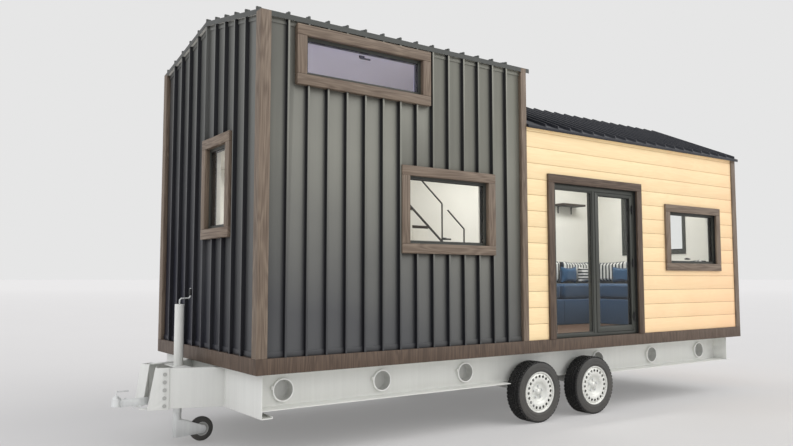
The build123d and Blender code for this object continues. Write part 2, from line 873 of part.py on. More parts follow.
def roof_part(half, top, skin_x, lining_x, ribs):
    """A roof with standing ribs at the given places along the house."""
    lining_half = -wall_in_y
    with BuildPart() as piece:
        add(across(roof_shell(half, top, 0, roof_skin), skin_x[0], skin_x[1] - skin_x[0]))
        add(across(roof_shell(lining_half, top, roof_skin, roof_skin + ceiling_thk),
                   lining_x[0], lining_x[1] - lining_x[0]))
        for rib in ribs:
            add(across(roof_shell(half, top, -roof_rib_h, roof_skin / 2), rib - rib_wid / 2, rib_wid))
    return piece


side_rib_run = tall_len - boundary_post_wid - rib_clear - side_rib_first
side_ribs = [side_rib_first + side_rib_pitch * step for step in range(int(side_rib_run / side_rib_pitch) + 1)]
tall_roof = roof_part(
    -at_y(rib_face), tall_roof_z,
    (at_x(rib_face), tall_end_x + panel_face + roof_lap),
    (tall_inner_x, tall_end_x - step_thk),
    [at_x(place) for place in side_ribs],
)
write(tall_roof, "tall_roof")

living_rib_count = int((living_len - panel_face - roof_lap) / side_rib_pitch)
living_roof = roof_part(
    house_wid / 2 + eave_over, living_roof_z,
    (tall_end_x, rear_x + verge_over),
    (tall_end_x, rear_inner_x),
    [rear_x - living_rib_last - side_rib_pitch * step for step in range(living_rib_count)],
)
write(living_roof, "living_roof")

# Ribbed sheet on the tall part

sheet_top = tall_roof_z(near_y, roof_skin)

sheet_x = (at_x(post_wid), at_x(tall_len - boundary_post_wid))

with BuildPart() as side_cladding:
    block(sheet_x, (at_y(panel_face), wall_out_y), (floor_z, sheet_top))
    for low in (floor_z, sheet_top - flashing_h):
        block(sheet_x, (at_y(panel_face - flashing_proud), at_y(panel_face)), (low, low + flashing_h))
    for place in side_ribs:
        block((at_x(place - rib_wid / 2), at_x(place + rib_wid / 2)), (at_y(rib_face), at_y(panel_face)),
              (floor_z, sheet_top))
    mirror(about=Plane.XZ)
    for window in (loft_window, kitchen_window):
        cut_side(window, 0, 0, wall_depth)
write(side_cladding, "side_cladding")


def end_strip(y_low, y_high, low, top, drop):
    """Points of an upright strip across the house, whose head follows a roof."""
    head = [(y_high, top(y_high, drop))]
    if y_low < 0 < y_high:
        head.append((0, top(0, drop)))
    head.append((y_low, top(y_low, drop)))
    return ((y_low, low(y_low)), (y_high, low(y_high)), *head)


def over_floor(y):
    """The level of the floor, at any place across the house."""
    return floor_z


def over_living_roof(y):
    """Just above the lower roof at a place across the house."""
    return living_roof_z(y) + roof_lap


end_half = -at_y(post_wid)
end_rib_pairs = int((end_half - rib_clear) / end_rib_pitch)
end_ribs = [end_rib_pitch * step for step in range(-end_rib_pairs, end_rib_pairs + 1)]
step_ribs = [rib + end_rib_pitch / 2 for rib in end_ribs[:-1]]

with BuildPart() as end_cladding:
    add(across(gable(end_half, floor_z, tall_roof_z, roof_skin), at_x(panel_face), sheet_thk))
    block((at_x(panel_face - flashing_proud), at_x(panel_face)), (-end_half, end_half),
          (floor_z, floor_z + flashing_h))
    add(across(roof_shell(end_half, tall_roof_z, roof_skin, roof_skin + flashing_h),
               at_x(panel_face - flashing_proud), flashing_proud))
    for rib_y in end_ribs:
        strip = end_strip(rib_y - rib_wid / 2, rib_y + rib_wid / 2, over_floor, tall_roof_z, roof_skin)
        add(across(strip, at_x(rib_face), panel_face - rib_face))
    block((at_x(0), at_x(wall_depth)), *end_rect(hitch_window), mode=Mode.SUBTRACT)
    step_half = -wall_out_y
    low_edge = ((-step_half, over_living_roof(step_half)), (0, over_living_roof(0)),
                (step_half, over_living_roof(step_half)))
    high_edge = ((step_half, tall_roof_z(step_half, roof_skin)), (0, tall_roof_z(0, roof_skin)),
                 (-step_half, tall_roof_z(step_half, roof_skin)))
    add(across((*low_edge, *high_edge), tall_end_x, sheet_thk))
    for rib_y in step_ribs:
        strip = end_strip(rib_y - rib_wid / 2, rib_y + rib_wid / 2, over_living_roof, tall_roof_z, roof_skin)
        add(across(strip, tall_end_x + sheet_thk, panel_face - rib_face))
write(end_cladding, "end_cladding")

# Timber trim: corner posts, window surrounds and the door surround


def corner(x_edge, x_way, leg_depth, end_depth, top):
    """Outline of a corner post on the door side, seen from above, and the height of its head."""
    outline = (
        (x_edge, near_y),
        (x_edge + x_way * post_wid, near_y),
        (x_edge + x_way * post_wid, at_y(leg_depth)),
        (x_edge + x_way * end_depth, at_y(leg_depth)),
        (x_edge + x_way * end_depth, at_y(post_wid)),
        (x_edge, at_y(post_wid)),
    )
    return outline, top(near_y, roof_skin)


with BuildPart() as corner_posts:
    for outline, head in (
        corner(at_x(0), 1, wall_depth, wall_depth, tall_roof_z),
        corner(rear_x, -1, board_face, board_face, living_roof_z),
    ):
        with BuildSketch(Plane.XY.offset(floor_z)):
            Polygon(*outline, align=None)
        extrude(amount=head - floor_z)
    block((tall_end_x - boundary_post_wid, tall_end_x), (near_y, wall_out_y),
          (floor_z, tall_roof_z(near_y, roof_skin)))
    mirror(about=Plane.XZ)
write(corner_posts, "corner_posts")


def side_ring(outer, inner, depth_from, depth_to):
    """Add a rectangular ring in a door-side wall between two depths."""
    with BuildPart() as ring:
        block(outer[0], (at_y(depth_from), at_y(depth_to)), outer[1])
        block(inner[0], (at_y(depth_from), at_y(depth_to)), inner[1], mode=Mode.SUBTRACT)
    return ring.part


def end_ring(outer, inner, x_span):
    """Add a rectangular ring in an end wall between two places along the house."""
    with BuildPart() as ring:
        block(x_span, *outer)
        block(x_span, *inner, mode=Mode.SUBTRACT)
    return ring.part


with BuildPart() as window_surrounds:
    for window, wall_face in ((loft_window, wall_depth), (kitchen_window, wall_depth),
                              (living_window, board_face)):
        add(side_ring(side_rect(window), side_rect(window, trim_wid), -trim_proud, wall_face))
    add(end_ring(end_rect(hitch_window), end_rect(hitch_window, trim_wid),
                 (at_x(-trim_proud), at_x(wall_depth))))
    add(end_ring(end_rect(rear_window), end_rect(rear_window, trim_wid),
                 (rear_x - board_face, rear_x + trim_proud)))
write(window_surrounds, "window_surrounds")

frame_back = window_frame_face + window_frame_depth
glass_front = window_frame_face + (window_frame_depth - glass_thk) / 2
frame_edge = trim_wid + window_frame_wid

with BuildPart() as window_frames:
    for window in (loft_window, kitchen_window, living_window):
        add(side_ring(side_rect(window, trim_wid), side_rect(window, frame_edge),
                      window_frame_face, frame_back))
    add(end_ring(end_rect(hitch_window, trim_wid), end_rect(hitch_window, frame_edge),
                 (at_x(window_frame_face), at_x(frame_back))))
    add(end_ring(end_rect(rear_window, trim_wid), end_rect(rear_window, frame_edge),
                 (rear_x - frame_back, rear_x - window_frame_face)))
write(window_frames, "window_frames")

door_hole_x = (at_x(door_hole[0]), at_x(door_hole[1]))
door_hole_z = (at_z(door_hole[2]), at_z(door_hole[3]))

with BuildPart() as door_surround:
    block((at_x(door_outer[0]), at_x(door_outer[1])), (at_y(-trim_proud), board_y),
          (floor_z, at_z(door_outer[3])))
    block(door_hole_x, (at_y(-trim_proud), board_y), door_hole_z, mode=Mode.SUBTRACT)
write(door_surround, "door_surround")

# Door frame: jambs, head, sill and mullion, with a fixed sash beside the leaf

frame_y = (at_y(door_frame_face), at_y(door_frame_face + door_frame_depth))
bay_z = (door_hole_z[0] + door_sill_h, door_hole_z[1] - door_jamb_wid)
fixed_x = (door_hole_x[0] + door_jamb_wid, tall_end_x + door_mullion[0])
leaf_bay_x = (tall_end_x + door_mullion[1], door_hole_x[1] - door_jamb_wid)
stop_y = (at_y(door_frame_face + leaf_thk + leaf_stop_gap), frame_y[1])
fixed_glass_x = (fixed_x[0] + fixed_stile_wid, fixed_x[1] - fixed_stile_wid)
fixed_glass_z = (bay_z[0] + fixed_stile_wid, bay_z[1] - fixed_stile_wid)
leaf_glass_y = (at_y(door_frame_face + (leaf_thk - glass_thk) / 2),
                at_y(door_frame_face + (leaf_thk + glass_thk) / 2))

with BuildPart() as door_frame:
    block(door_hole_x, frame_y, door_hole_z)
    block(leaf_bay_x, (frame_y[0], stop_y[0]), bay_z, mode=Mode.SUBTRACT)
    block((leaf_bay_x[0] + leaf_stop, leaf_bay_x[1] - leaf_stop), stop_y,
          (bay_z[0], bay_z[1] - leaf_stop), mode=Mode.SUBTRACT)
    block(fixed_x, (frame_y[0], leaf_glass_y[0] - sash_step), bay_z, mode=Mode.SUBTRACT)
    block(fixed_x, (leaf_glass_y[1] + sash_step, frame_y[1]), bay_z, mode=Mode.SUBTRACT)
    block(fixed_glass_x, frame_y, fixed_glass_z, mode=Mode.SUBTRACT)
write(door_frame, "door_frame")

with BuildPart() as window_glass:
    for window in (loft_window, kitchen_window, living_window):
        u_span, v_span = side_rect(window, frame_edge)
        block(u_span, (at_y(glass_front), at_y(glass_front + glass_thk)), v_span)
    block((at_x(glass_front), at_x(glass_front + glass_thk)), *end_rect(hitch_window, frame_edge))
    block((rear_x - glass_front - glass_thk, rear_x - glass_front), *end_rect(rear_window, frame_edge))
    block(fixed_glass_x, leaf_glass_y, fixed_glass_z)
write(window_glass, "window_glass")

# Door leaf: it swings outwards on three hinges at its right-hand edge

leaf_x = (leaf_bay_x[0] + leaf_free_gap, leaf_bay_x[1] - leaf_gap)
leaf_y = (frame_y[0], frame_y[0] + leaf_thk)
leaf_z = (bay_z[0] + leaf_gap, bay_z[1] - leaf_gap)
leaf_glass_x = (leaf_x[0] + door_stile_wid, leaf_x[1] - door_stile_wid)
leaf_glass_z = (leaf_z[0] + door_bottom_rail, leaf_z[1] - door_stile_wid)
hinge_x = (leaf_x[1] + leaf_bay_x[1]) / 2
hinge_y = frame_y[0] - hinge_axis_out

with BuildPart() as door_leaf:
    block(leaf_x, leaf_y, leaf_z)
    block(leaf_glass_x, leaf_y, leaf_glass_z, mode=Mode.SUBTRACT)
    leaf_edges = door_leaf.edges().filter_by(Axis.Z).group_by(Axis.Y)[0]
    chamfer(leaf_edges, hinge_plate_thk)
write(door_leaf, "door_leaf")

with BuildPart() as door_glass:
    block(leaf_glass_x, leaf_glass_y, leaf_glass_z)
write(door_glass, "door_glass")


with BuildPart() as door_hinges_fixed:
    for level in hinge_heights:
        for way in (-1, 1):
            low = at_z(level) + way * (hinge_knuckle_len + hinge_play) - hinge_knuckle_len / 2
            with Locations((hinge_x, hinge_y, low + hinge_knuckle_len / 2)):
                Cylinder(hinge_knuckle_r, hinge_knuckle_len)
            block((hinge_x, hinge_x + hinge_plate_wid), (frame_y[0] - hinge_plate_thk, frame_y[0]),
                  (low, low + hinge_knuckle_len))
        with Locations((hinge_x, hinge_y, at_z(level))):
            Cylinder(hinge_pin_r, hinge_knuckle_len + 2 * hinge_play)
write(door_hinges_fixed, "door_hinges_fixed")

with BuildPart() as door_hinges_moving:
    for level in hinge_heights:
        with Locations((hinge_x, hinge_y, at_z(level))):
            Cylinder(hinge_knuckle_r, hinge_knuckle_len)
        block((hinge_x - hinge_plate_wid, hinge_x), (frame_y[0] - hinge_plate_thk, frame_y[0]),
              (at_z(level) - hinge_knuckle_len / 2, at_z(level) + hinge_knuckle_len / 2))
        with Locations((hinge_x, hinge_y, at_z(level))):
            Cylinder(hinge_pin_r + running_fit, hinge_knuckle_len, mode=Mode.SUBTRACT)
write(door_hinges_moving, "door_hinges_moving")

handle_x = leaf_x[0] + door_stile_wid / 2

with BuildPart() as door_handle:
    with BuildLine():
        Polyline(*bent_path(
            (handle_x, leaf_y[1], at_z(handle_height)),
            (handle_x, leaf_y[1] + handle_reach, at_z(handle_height)),
            (handle_x + handle_len, leaf_y[1] + handle_reach, at_z(handle_height)),
            bend=handle_r,
        ))
    with BuildSketch(Plane.XZ.offset(-leaf_y[1])):
        with Locations((handle_x, at_z(handle_height))):
            Circle(handle_r)
    sweep(transition=Transition.RIGHT)
    with BuildSketch(Plane.XZ.offset(-leaf_y[1])):
        with Locations((handle_x, at_z(handle_height))):
            Circle(2 * handle_r)
    extrude(amount=-hinge_plate_thk)
write(door_handle, "door_handle")

# Inside: loft floor, stair, rail, shelf and sofa

back_y = -wall_in_y
stair_y = (back_y - stair_wid, back_y)
stair_foot = tall_len + stair_start
stair_head_x = at_x(stair_foot - stair_run * (stair_steps - 1))
loft_top_z = floor_z + stair_rise * stair_steps

with BuildPart() as loft_floor:
    block((tall_inner_x, stair_head_x), (wall_in_y, back_y), (loft_top_z - loft_thk, loft_top_z))
write(loft_floor, "loft_floor")

with BuildPart() as stair:
    for step in range(1, stair_steps):
        riser_x = at_x(stair_foot - stair_run * (step - 1))
        block((riser_x - stair_run, riser_x), stair_y, (floor_z, floor_z + stair_rise * step - tread_thk))
write(stair, "stair")

with BuildPart() as stair_treads:
    for step in range(1, stair_steps):
        riser_x = at_x(stair_foot - stair_run * (step - 1))
        tread_z = floor_z + stair_rise * step
        block((riser_x - stair_run, riser_x), stair_y, (tread_z - tread_thk, tread_z))
write(stair_treads, "stair_treads")


def nosing_z(distance):
    """Height of the line through the tread edges at a place along the house."""
    return floor_z + stair_rise * (1 + (stair_foot - distance) / stair_run)


with BuildPart() as stair_rail:
    rail_y = stair_y[0] + rail_inset
    rail_posts = [tall_len + start for start in rail_post_starts]
    rail_tops = [(at_x(place), rail_y, nosing_z(place) + rail_height) for place in rail_posts]
    rail_ends = (rail_tops[0], rail_tops[-1])
    with BuildSketch(Plane(origin=rail_ends[0], z_dir=(stair_run, 0, -stair_rise))):
        Circle(rail_bar_r)
    extrude(amount=math.dist(*rail_ends))
    for place in rail_posts:
        step = math.ceil((stair_foot - place) / stair_run)
        foot_z = floor_z + stair_rise * step
        with BuildSketch(Plane.XY.offset(foot_z)):
            with Locations((at_x(place), rail_y)):
                Circle(rail_bar_r)
        extrude(amount=nosing_z(place) + rail_height - foot_z)
write(stair_rail, "stair_rail")

with BuildPart() as wall_shelf:
    block((rear_x - shelf_ends[0], rear_x - shelf_ends[1]), (back_y - shelf_deep, back_y),
          (at_z(shelf_z), at_z(shelf_z + shelf_thk)))
write(wall_shelf, "wall_shelf")

sofa_x = (rear_x - sofa_end, rear_inner_x)
return_x = rear_x - sofa_return
sofa_y = back_y - sofa_deep
return_y = at_y(sofa_near)

with BuildPart() as sofa_base:
    with BuildSketch(Plane.XY.offset(floor_z)):
        panel(sofa_x, (sofa_y, back_y))
        panel((return_x, rear_inner_x), (return_y, back_y))
    extrude(amount=at_z(sofa_base_top) - floor_z)
write(sofa_base, "sofa_base")

with BuildPart() as sofa_cushions:
    run = (return_x - sofa_x[0]) / cushion_count
    for step in range(cushion_count):
        block((sofa_x[0] + run * step + cushion_gap / 2, sofa_x[0] + run * (step + 1) - cushion_gap / 2),
              (sofa_y, back_y), (at_z(sofa_base_top), at_z(sofa_seat_top)))
    block((return_x + cushion_gap / 2, rear_inner_x), (sofa_y + cushion_gap / 2, back_y),
          (at_z(sofa_base_top), at_z(sofa_seat_top)))
    block((return_x + cushion_gap / 2, rear_inner_x), (return_y, sofa_y - cushion_gap / 2),
          (at_z(sofa_base_top), at_z(sofa_seat_top)))
write(sofa_cushions, "sofa_cushions")

back_z = (at_z(sofa_seat_top), at_z(sofa_back_top))

with BuildPart() as back_cushions:
    for step in range(cushion_count):
        block((sofa_x[0] + run * step + cushion_gap, sofa_x[0] + run * (step + 1) - cushion_gap),
              (back_y - back_cushion_thk, back_y), back_z)
    block((return_x + cushion_gap, rear_inner_x - back_cushion_thk - cushion_gap),
          (back_y - back_cushion_thk, back_y), back_z)
    block((rear_inner_x - back_cushion_thk, rear_inner_x), (sofa_y, back_y), back_z)
    block((rear_inner_x - back_cushion_thk, rear_inner_x), (return_y, sofa_y - cushion_gap), back_z)
write(back_cushions, "back_cushions")

with BuildPart() as pillows:
    pillow_z = (at_z(sofa_seat_top), at_z(pillow_top))
    pillow_y = back_y - back_cushion_thk - soft_clear
    pillow_x = rear_inner_x - back_cushion_thk - soft_clear
    for first, last in pillows_back:
        block((rear_x - first, rear_x - last), (pillow_y - pillow_thk, pillow_y), pillow_z)
    block((pillow_x - pillow_thk, pillow_x), (back_y - pillow_rear[0], back_y - pillow_rear[1]), pillow_z)
write(pillows, "pillows")
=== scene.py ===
import json
import math
import random
from itertools import product

import bmesh
import bpy
from mathutils import Matrix, Vector
from mathutils.bvhtree import BVHTree

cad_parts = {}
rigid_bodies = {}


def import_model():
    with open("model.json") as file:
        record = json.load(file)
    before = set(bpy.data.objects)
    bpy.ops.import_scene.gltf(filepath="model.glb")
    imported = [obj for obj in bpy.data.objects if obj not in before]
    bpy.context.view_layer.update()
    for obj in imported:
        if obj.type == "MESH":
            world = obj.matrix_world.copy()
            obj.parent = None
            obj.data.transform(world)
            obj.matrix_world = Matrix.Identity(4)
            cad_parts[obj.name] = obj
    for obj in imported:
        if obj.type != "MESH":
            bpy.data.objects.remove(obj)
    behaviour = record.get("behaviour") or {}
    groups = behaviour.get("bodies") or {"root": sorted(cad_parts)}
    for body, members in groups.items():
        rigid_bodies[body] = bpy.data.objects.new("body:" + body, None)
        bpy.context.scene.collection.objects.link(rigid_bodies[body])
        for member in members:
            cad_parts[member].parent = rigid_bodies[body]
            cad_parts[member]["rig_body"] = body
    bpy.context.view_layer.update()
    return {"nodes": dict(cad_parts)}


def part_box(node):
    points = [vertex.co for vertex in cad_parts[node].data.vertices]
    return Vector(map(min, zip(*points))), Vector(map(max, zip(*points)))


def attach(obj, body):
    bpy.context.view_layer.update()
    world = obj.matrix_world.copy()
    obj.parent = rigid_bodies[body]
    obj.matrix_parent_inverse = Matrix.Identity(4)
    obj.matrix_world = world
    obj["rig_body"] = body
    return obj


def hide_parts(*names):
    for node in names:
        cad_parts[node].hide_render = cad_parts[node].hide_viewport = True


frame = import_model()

SLIM = 0.025  # how much wider the fixed pane's bay is drawn on each side than the frame has it
NEAR = 1e-3  # two places in metres count as level with one another within this
LINING = 0.006  # thickness of the reveal linings round the openings in the boards
RIB = 0.034  # how far a roof's ribs stand over its skin
FLOOR_BOARD = 0.012  # thickness of the floor boards
UPRIGHT = (math.pi / 2, 0, 0)  # turn of a bolt head that faces the long side

bl_info = {
    "name": "Tiny house finishes",
    "version": (1, 0, 0),
    "blender": (4, 5, 0),
    "location": "3D View > Sidebar > House",
    "description": "Dresses a tiny house on wheels: boards, ribbed sheet, windows, chassis and soft furniture",
    "category": "Object",
}


def srgb(red, green, blue):
    """A colour as it looks on screen, each part from 0 to 255, as the linear value that sockets take."""
    shares = (red / 255, green / 255, blue / 255)
    return tuple(s / 12.92 if s <= 0.04045 else ((s + 0.055) / 1.055) ** 2.4 for s in shares)


def colour_prop(name, words, red, green, blue):
    """A colour that a user can change, given as it looks on screen."""
    return bpy.props.FloatVectorProperty(
        name=name, description=words, subtype="COLOR", min=0, max=1, default=srgb(red, green, blue)
    )


def length_prop(name, words, default):
    """A length in metres that a user can change."""
    return bpy.props.FloatProperty(
        name=name, description=words, default=default, min=0, unit="LENGTH", subtype="DISTANCE"
    )


def strength_prop(name, words, default):
    """A lamp's strength that a user can change."""
    return bpy.props.FloatProperty(name=name, description=words, default=default, min=0)


class HouseTimber(bpy.types.PropertyGroup):
    """Sizes and colours of the boards, posts and trim."""

    pale: colour_prop("Pale board", "Colour of the boards on the living section", 254, 230, 182)
    warm: colour_prop("Warm board", "Colour of the boards where the timber is redder", 252, 208, 164)
    pale_grain: colour_prop("Pale grain", "Colour of the grain in those boards", 244, 208, 156)
    stain: colour_prop("Stain", "Colour of the posts and window surrounds", 136, 120, 103)
    stain_grain: colour_prop("Stain grain", "Colour of the grain in the stained timber", 88, 73, 61)
    # Painted shade: the skirt colour and its grain are the stain darkened, for the skirt and the door surround.
    skirt: colour_prop("Skirt", "Colour of the skirt and the door surround", 102, 84, 69)
    skirt_grain: colour_prop("Skirt grain", "Colour of the grain in the skirt", 60, 46, 36)
    joint: colour_prop("Joint", "Colour deep in the joints between boards", 128, 98, 70)
    pitch: length_prop("Board pitch", "From one board's lower edge to the next one's", 0.17)
    gap: length_prop("Board gap", "Open joint between two boards", 0.003)
    thickness: length_prop("Board thickness", "Depth of a board behind its face", 0.018)
    edge: length_prop("Board edge", "Width of the eased edges of the boards", 0.0025)
    trim_edge: length_prop("Trim edge", "Width of the eased edges of the trim", 0.003)


class HouseMetal(bpy.types.PropertyGroup):
    """Sizes and colours of the sheet, the steel and the wheels."""

    sheet: colour_prop("Wall sheet", "Colour of the ribbed wall sheet", 130, 130, 120)
    # Painted shade: the wall sheet's colour low down, near the skirt.
    sheet_low_shade: colour_prop("Wall sheet shade low down", "Colour of the wall sheet near the skirt", 66, 67, 69)
    # Painted shade: the end sheet is the wall sheet drawn darker for the end walls, and darker still, navy, low down.
    end: colour_prop("End sheet", "Colour of the ribbed sheet on the end walls", 108, 109, 105)
    end_low: colour_prop("End sheet low down", "Colour of the end sheet near the skirt", 34, 35, 47)
    # Painted shade: the near-black colour laid in the folds beside the ribs.
    crease: colour_prop("Crease", "Colour in the folds beside the ribs", 22, 23, 30)
    strips: colour_prop("Edge strips", "Colour of the strips along the tall roof", 66, 68, 66)
    roof: colour_prop("Roof sheet", "Colour of the roof sheet", 24, 27, 37)
    chassis: colour_prop("Chassis", "Colour of the painted chassis", 222, 223, 218)
    zinc: colour_prop("Zinc", "Colour of the plated coupling and jockey wheel", 214, 216, 215)
    wheel: colour_prop("Wheel", "Colour of the pressed wheels", 222, 223, 217)
    frames: colour_prop("Frames", "Colour of the window and door frames", 58, 60, 55)
    fold: length_prop("Sheet fold", "Radius of the folds in the sheet", 0.003)
    steel_edge: length_prop("Steel edge", "Radius of the edges of the chassis members", 0.0018)


class HouseRoom(bpy.types.PropertyGroup):
    """Colours of the linings and the soft furniture."""

    lining: colour_prop("Lining", "Colour of the inner walls and ceilings", 226, 224, 216)
    floor: colour_prop("Floor", "Colour of the floor boards", 120, 92, 70)
    tread: colour_prop("Tread", "Colour of the treads and the shelf", 62, 50, 42)
    sofa: colour_prop("Sofa", "Colour of the sofa cloth", 34, 66, 98)
    pillow: colour_prop("Pillow", "Colour of the pillow cloth", 46, 84, 118)
    stripe: colour_prop("Stripe", "Colour of the dark stripes", 34, 36, 42)
    cloth: colour_prop("White cloth", "Colour of the pale cloth between the stripes", 226, 226, 222)
    swell: length_prop("Swell", "How far the filling may push a cushion's cloth out", 0.026)
    piping: length_prop("Piping", "Radius of the piping on the cushion seams", 0.0045)


class HouseStudio(bpy.types.PropertyGroup):
    """The floor, the backdrop and the light."""

    backdrop: colour_prop("Backdrop", "Colour behind the house", 230, 230, 230)
    floor: colour_prop("Studio floor", "Colour of the studio floor", 236, 235, 234)
    key: strength_prop("Key light", "Strength of the main lamp", 1.4)
    fill: strength_prop("Fill light", "Strength of the lamp on the hitch end", 0.8)
    ambient: strength_prop("Ambient", "Strength of the light all round", 0.76)


SETTINGS = {"timber": HouseTimber, "metal": HouseMetal, "room": HouseRoom, "studio": HouseStudio}


def look(part):
    """The settings of one part of the house."""
    return getattr(bpy.context.scene, "house_" + part)


# Nodes


class Graph:
    """Adds nodes to one tree and links them, for materials and for geometry alike."""

    def __init__(self, tree, material=None):
        self.tree = tree
        self.material = material

    def feed(self, socket, value):
        """Links a socket or a node's first output to an input, or sets the input to a plain value."""
        if isinstance(value, bpy.types.Node):
            value = value.outputs[0]
        if isinstance(value, bpy.types.NodeSocket):
            self.tree.links.new(value, socket)
        else:
            socket.default_value = value

    def add(self, kind, inputs=None, **settings):
        """Adds a node, with its settings first, because they decide which inputs it has."""
        node = self.tree.nodes.new(kind)
        for key, value in settings.items():
            setattr(node, key, value)
        for key, value in (inputs or {}).items():
            self.feed(node.inputs[key], value)
        return node

    def math(self, operation, first, second=0.0, clamp=False):
        """The result of a sum, difference, product or comparison of two values."""
        return self.add("ShaderNodeMath", {0: first, 1: second}, operation=operation, use_clamp=clamp).outputs[0]

    def plus(self, first, second, clamp=False):
        """The sum of two values."""
        return self.math("ADD", first, second, clamp)

    def less(self, first, second):
        """The difference of two values."""
        return self.math("SUBTRACT", first, second)

    def times(self, first, second, clamp=False):
        """The product of two values."""
        return self.math("MULTIPLY", first, second, clamp)

    def blend(self, share, first, second):
        """A colour between two others."""
        return self.add("ShaderNodeMix", {0: share, 6: first, 7: second}, data_type="RGBA").outputs[2]

    def span(self, value, low, high, to_low=0.0, to_high=1.0):
        """A value moved from one span to another, and held inside it."""
        values = {0: value, 1: low, 2: high, 3: to_low, 4: to_high}
        return self.add("ShaderNodeMapRange", values).outputs[0]

    def noise(self, vector, scale, detail=4.0, roughness=0.5, distortion=0.0):
        """Soft noise from 0 to 1."""
        values = {"Vector": vector, "Scale": scale, "Detail": detail, "Roughness": roughness,
                  "Distortion": distortion}
        return self.add("ShaderNodeTexNoise", values).outputs[0]

    def stretched(self, vector, factors):
        """Coordinates scaled by a factor along each axis."""
        return self.add("ShaderNodeMapping", {"Vector": vector, "Scale": factors}).outputs[0]

    def place(self):
        """The object's own coordinates."""
        return self.add("ShaderNodeTexCoord").outputs["Object"]

    def parts(self, vector):
        """The three parts of a place."""
        return self.add("ShaderNodeSeparateXYZ", {0: vector}).outputs

    def along(self, vector, direction):
        """How far a place lies in a direction."""
        return self.add("ShaderNodeVectorMath", {0: vector, 1: direction}, operation="DOT_PRODUCT").outputs[1]

    def toned(self, colour, value):
        """A colour made lighter or darker."""
        return self.add("ShaderNodeHueSaturation", {"Color": colour, "Value": value})

    def attribute(self, name):
        """A value that the mesh carries."""
        return self.add("ShaderNodeAttribute", attribute_name=name).outputs["Fac"]


def four(colour):
    """A colour with its fourth part."""
    return (*tuple(colour)[:3], 1.0)


def shaded(colour, share):
    """A darker colour of the same hue."""
    return tuple(share * part for part in colour)


SOCKETS = {"value": "NodeSocketFloat", "colour": "NodeSocketColor", "vector": "NodeSocketVector",
           "count": "NodeSocketInt", "geometry": "NodeSocketGeometry", "material": "NodeSocketMaterial"}


def node_group(name, kind, inputs, outputs):
    """A new node tree with named sockets, its graph, its input sockets by name, and its output node."""
    tree = bpy.data.node_groups.new(name, kind)
    for direction, sockets in (("INPUT", inputs), ("OUTPUT", outputs)):
        for label, sort in sockets:
            tree.interface.new_socket(name=label, in_out=direction, socket_type=SOCKETS[sort])
    graph = Graph(tree)
    given = tree.nodes.new("NodeGroupInput")
    result = tree.nodes.new("NodeGroupOutput")
    return tree, graph, {socket.name: socket for socket in given.outputs}, result


def grain_group():
    """Timber grain along the first coordinate: long fibres, wider bands, and a tone for each board."""
    tree, graph, given, result = node_group(
        "Timber grain", "ShaderNodeTree",
        [("Coordinate", "vector"), ("Tone", "value"), ("Base", "colour"), ("Dark", "colour"),
         ("Strength", "value"), ("Spread", "value")],
        [("Colour", "colour"), ("Height", "value")],
    )
    fibres = graph.noise(graph.stretched(given["Coordinate"], (2.0, 110, 1)), 1.0, 5.0, 0.6)
    bands = graph.noise(graph.stretched(given["Coordinate"], (0.8, 9, 1)), 1.0, 2.0, 0.5, 0.5)
    rings = graph.math("SINE", graph.times(bands, 60.0))
    mixed = graph.plus(graph.times(graph.span(fibres, 0.32, 0.68), 0.62),
                       graph.times(graph.span(rings, -1.0, 1.0), 0.38))
    share = graph.times(mixed, given["Strength"], clamp=True)
    coloured = graph.blend(share, given["Base"], given["Dark"])
    brightness = graph.span(given["Tone"], 0.0, 1.0, 1.0, 0.0)
    lift = graph.less(1.0, graph.times(brightness, given["Spread"]))
    toned = graph.toned(coloured, lift)
    graph.feed(result.inputs["Colour"], toned)
    graph.feed(result.inputs["Height"], graph.less(1.0, mixed))
    return tree


def dust_group():
    """Dust and splashes: a colour that gathers low down and in soft patches, and how much of it there is."""
    tree, graph, given, result = node_group(
        "Road dust", "ShaderNodeTree",
        [("Colour", "colour"), ("Dust", "colour"), ("Amount", "value"), ("Low", "value"), ("High", "value")],
        [("Colour", "colour"), ("Mask", "value")],
    )
    place = graph.place()
    height = graph.parts(place)[2]
    low_down = graph.less(1.0, graph.span(height, given["Low"], given["High"]))
    patches = graph.span(graph.noise(place, 3.5, 6.0, 0.62), 0.3, 0.75)
    specks = graph.span(graph.noise(place, 60.0, 3.0, 0.6), 0.45, 0.8)
    spread = graph.plus(graph.times(patches, 0.7), graph.times(specks, 0.3))
    mask = graph.times(graph.times(spread, low_down), given["Amount"], clamp=True)
    graph.feed(result.inputs["Colour"], graph.blend(mask, given["Colour"], given["Dust"]))
    graph.feed(result.inputs["Mask"], mask)
    return tree


def sheet_group():
    """The slight waviness of thin folded sheet, with its fine rolled texture."""
    tree, graph, given, result = node_group(
        "Sheet waves", "ShaderNodeTree", [("Waves", "value"), ("Texture", "value")],
        [("Height", "value"), ("Streaks", "value")],
    )
    place = graph.place()
    waves = graph.noise(graph.stretched(place, (3.2, 3.2, 0.9)), 1.0, 2.0, 0.45)
    rolled = graph.noise(graph.stretched(place, (160, 160, 12)), 1.0, 2.0, 0.5)
    height = graph.plus(graph.times(waves, given["Waves"]),
                        graph.times(rolled, given["Texture"]))
    streaks = graph.noise(graph.stretched(place, (26, 26, 0.7)), 1.0, 4.0, 0.6)
    graph.feed(result.inputs["Height"], height)
    graph.feed(result.inputs["Streaks"], graph.span(streaks, 0.3, 0.7))
    return tree


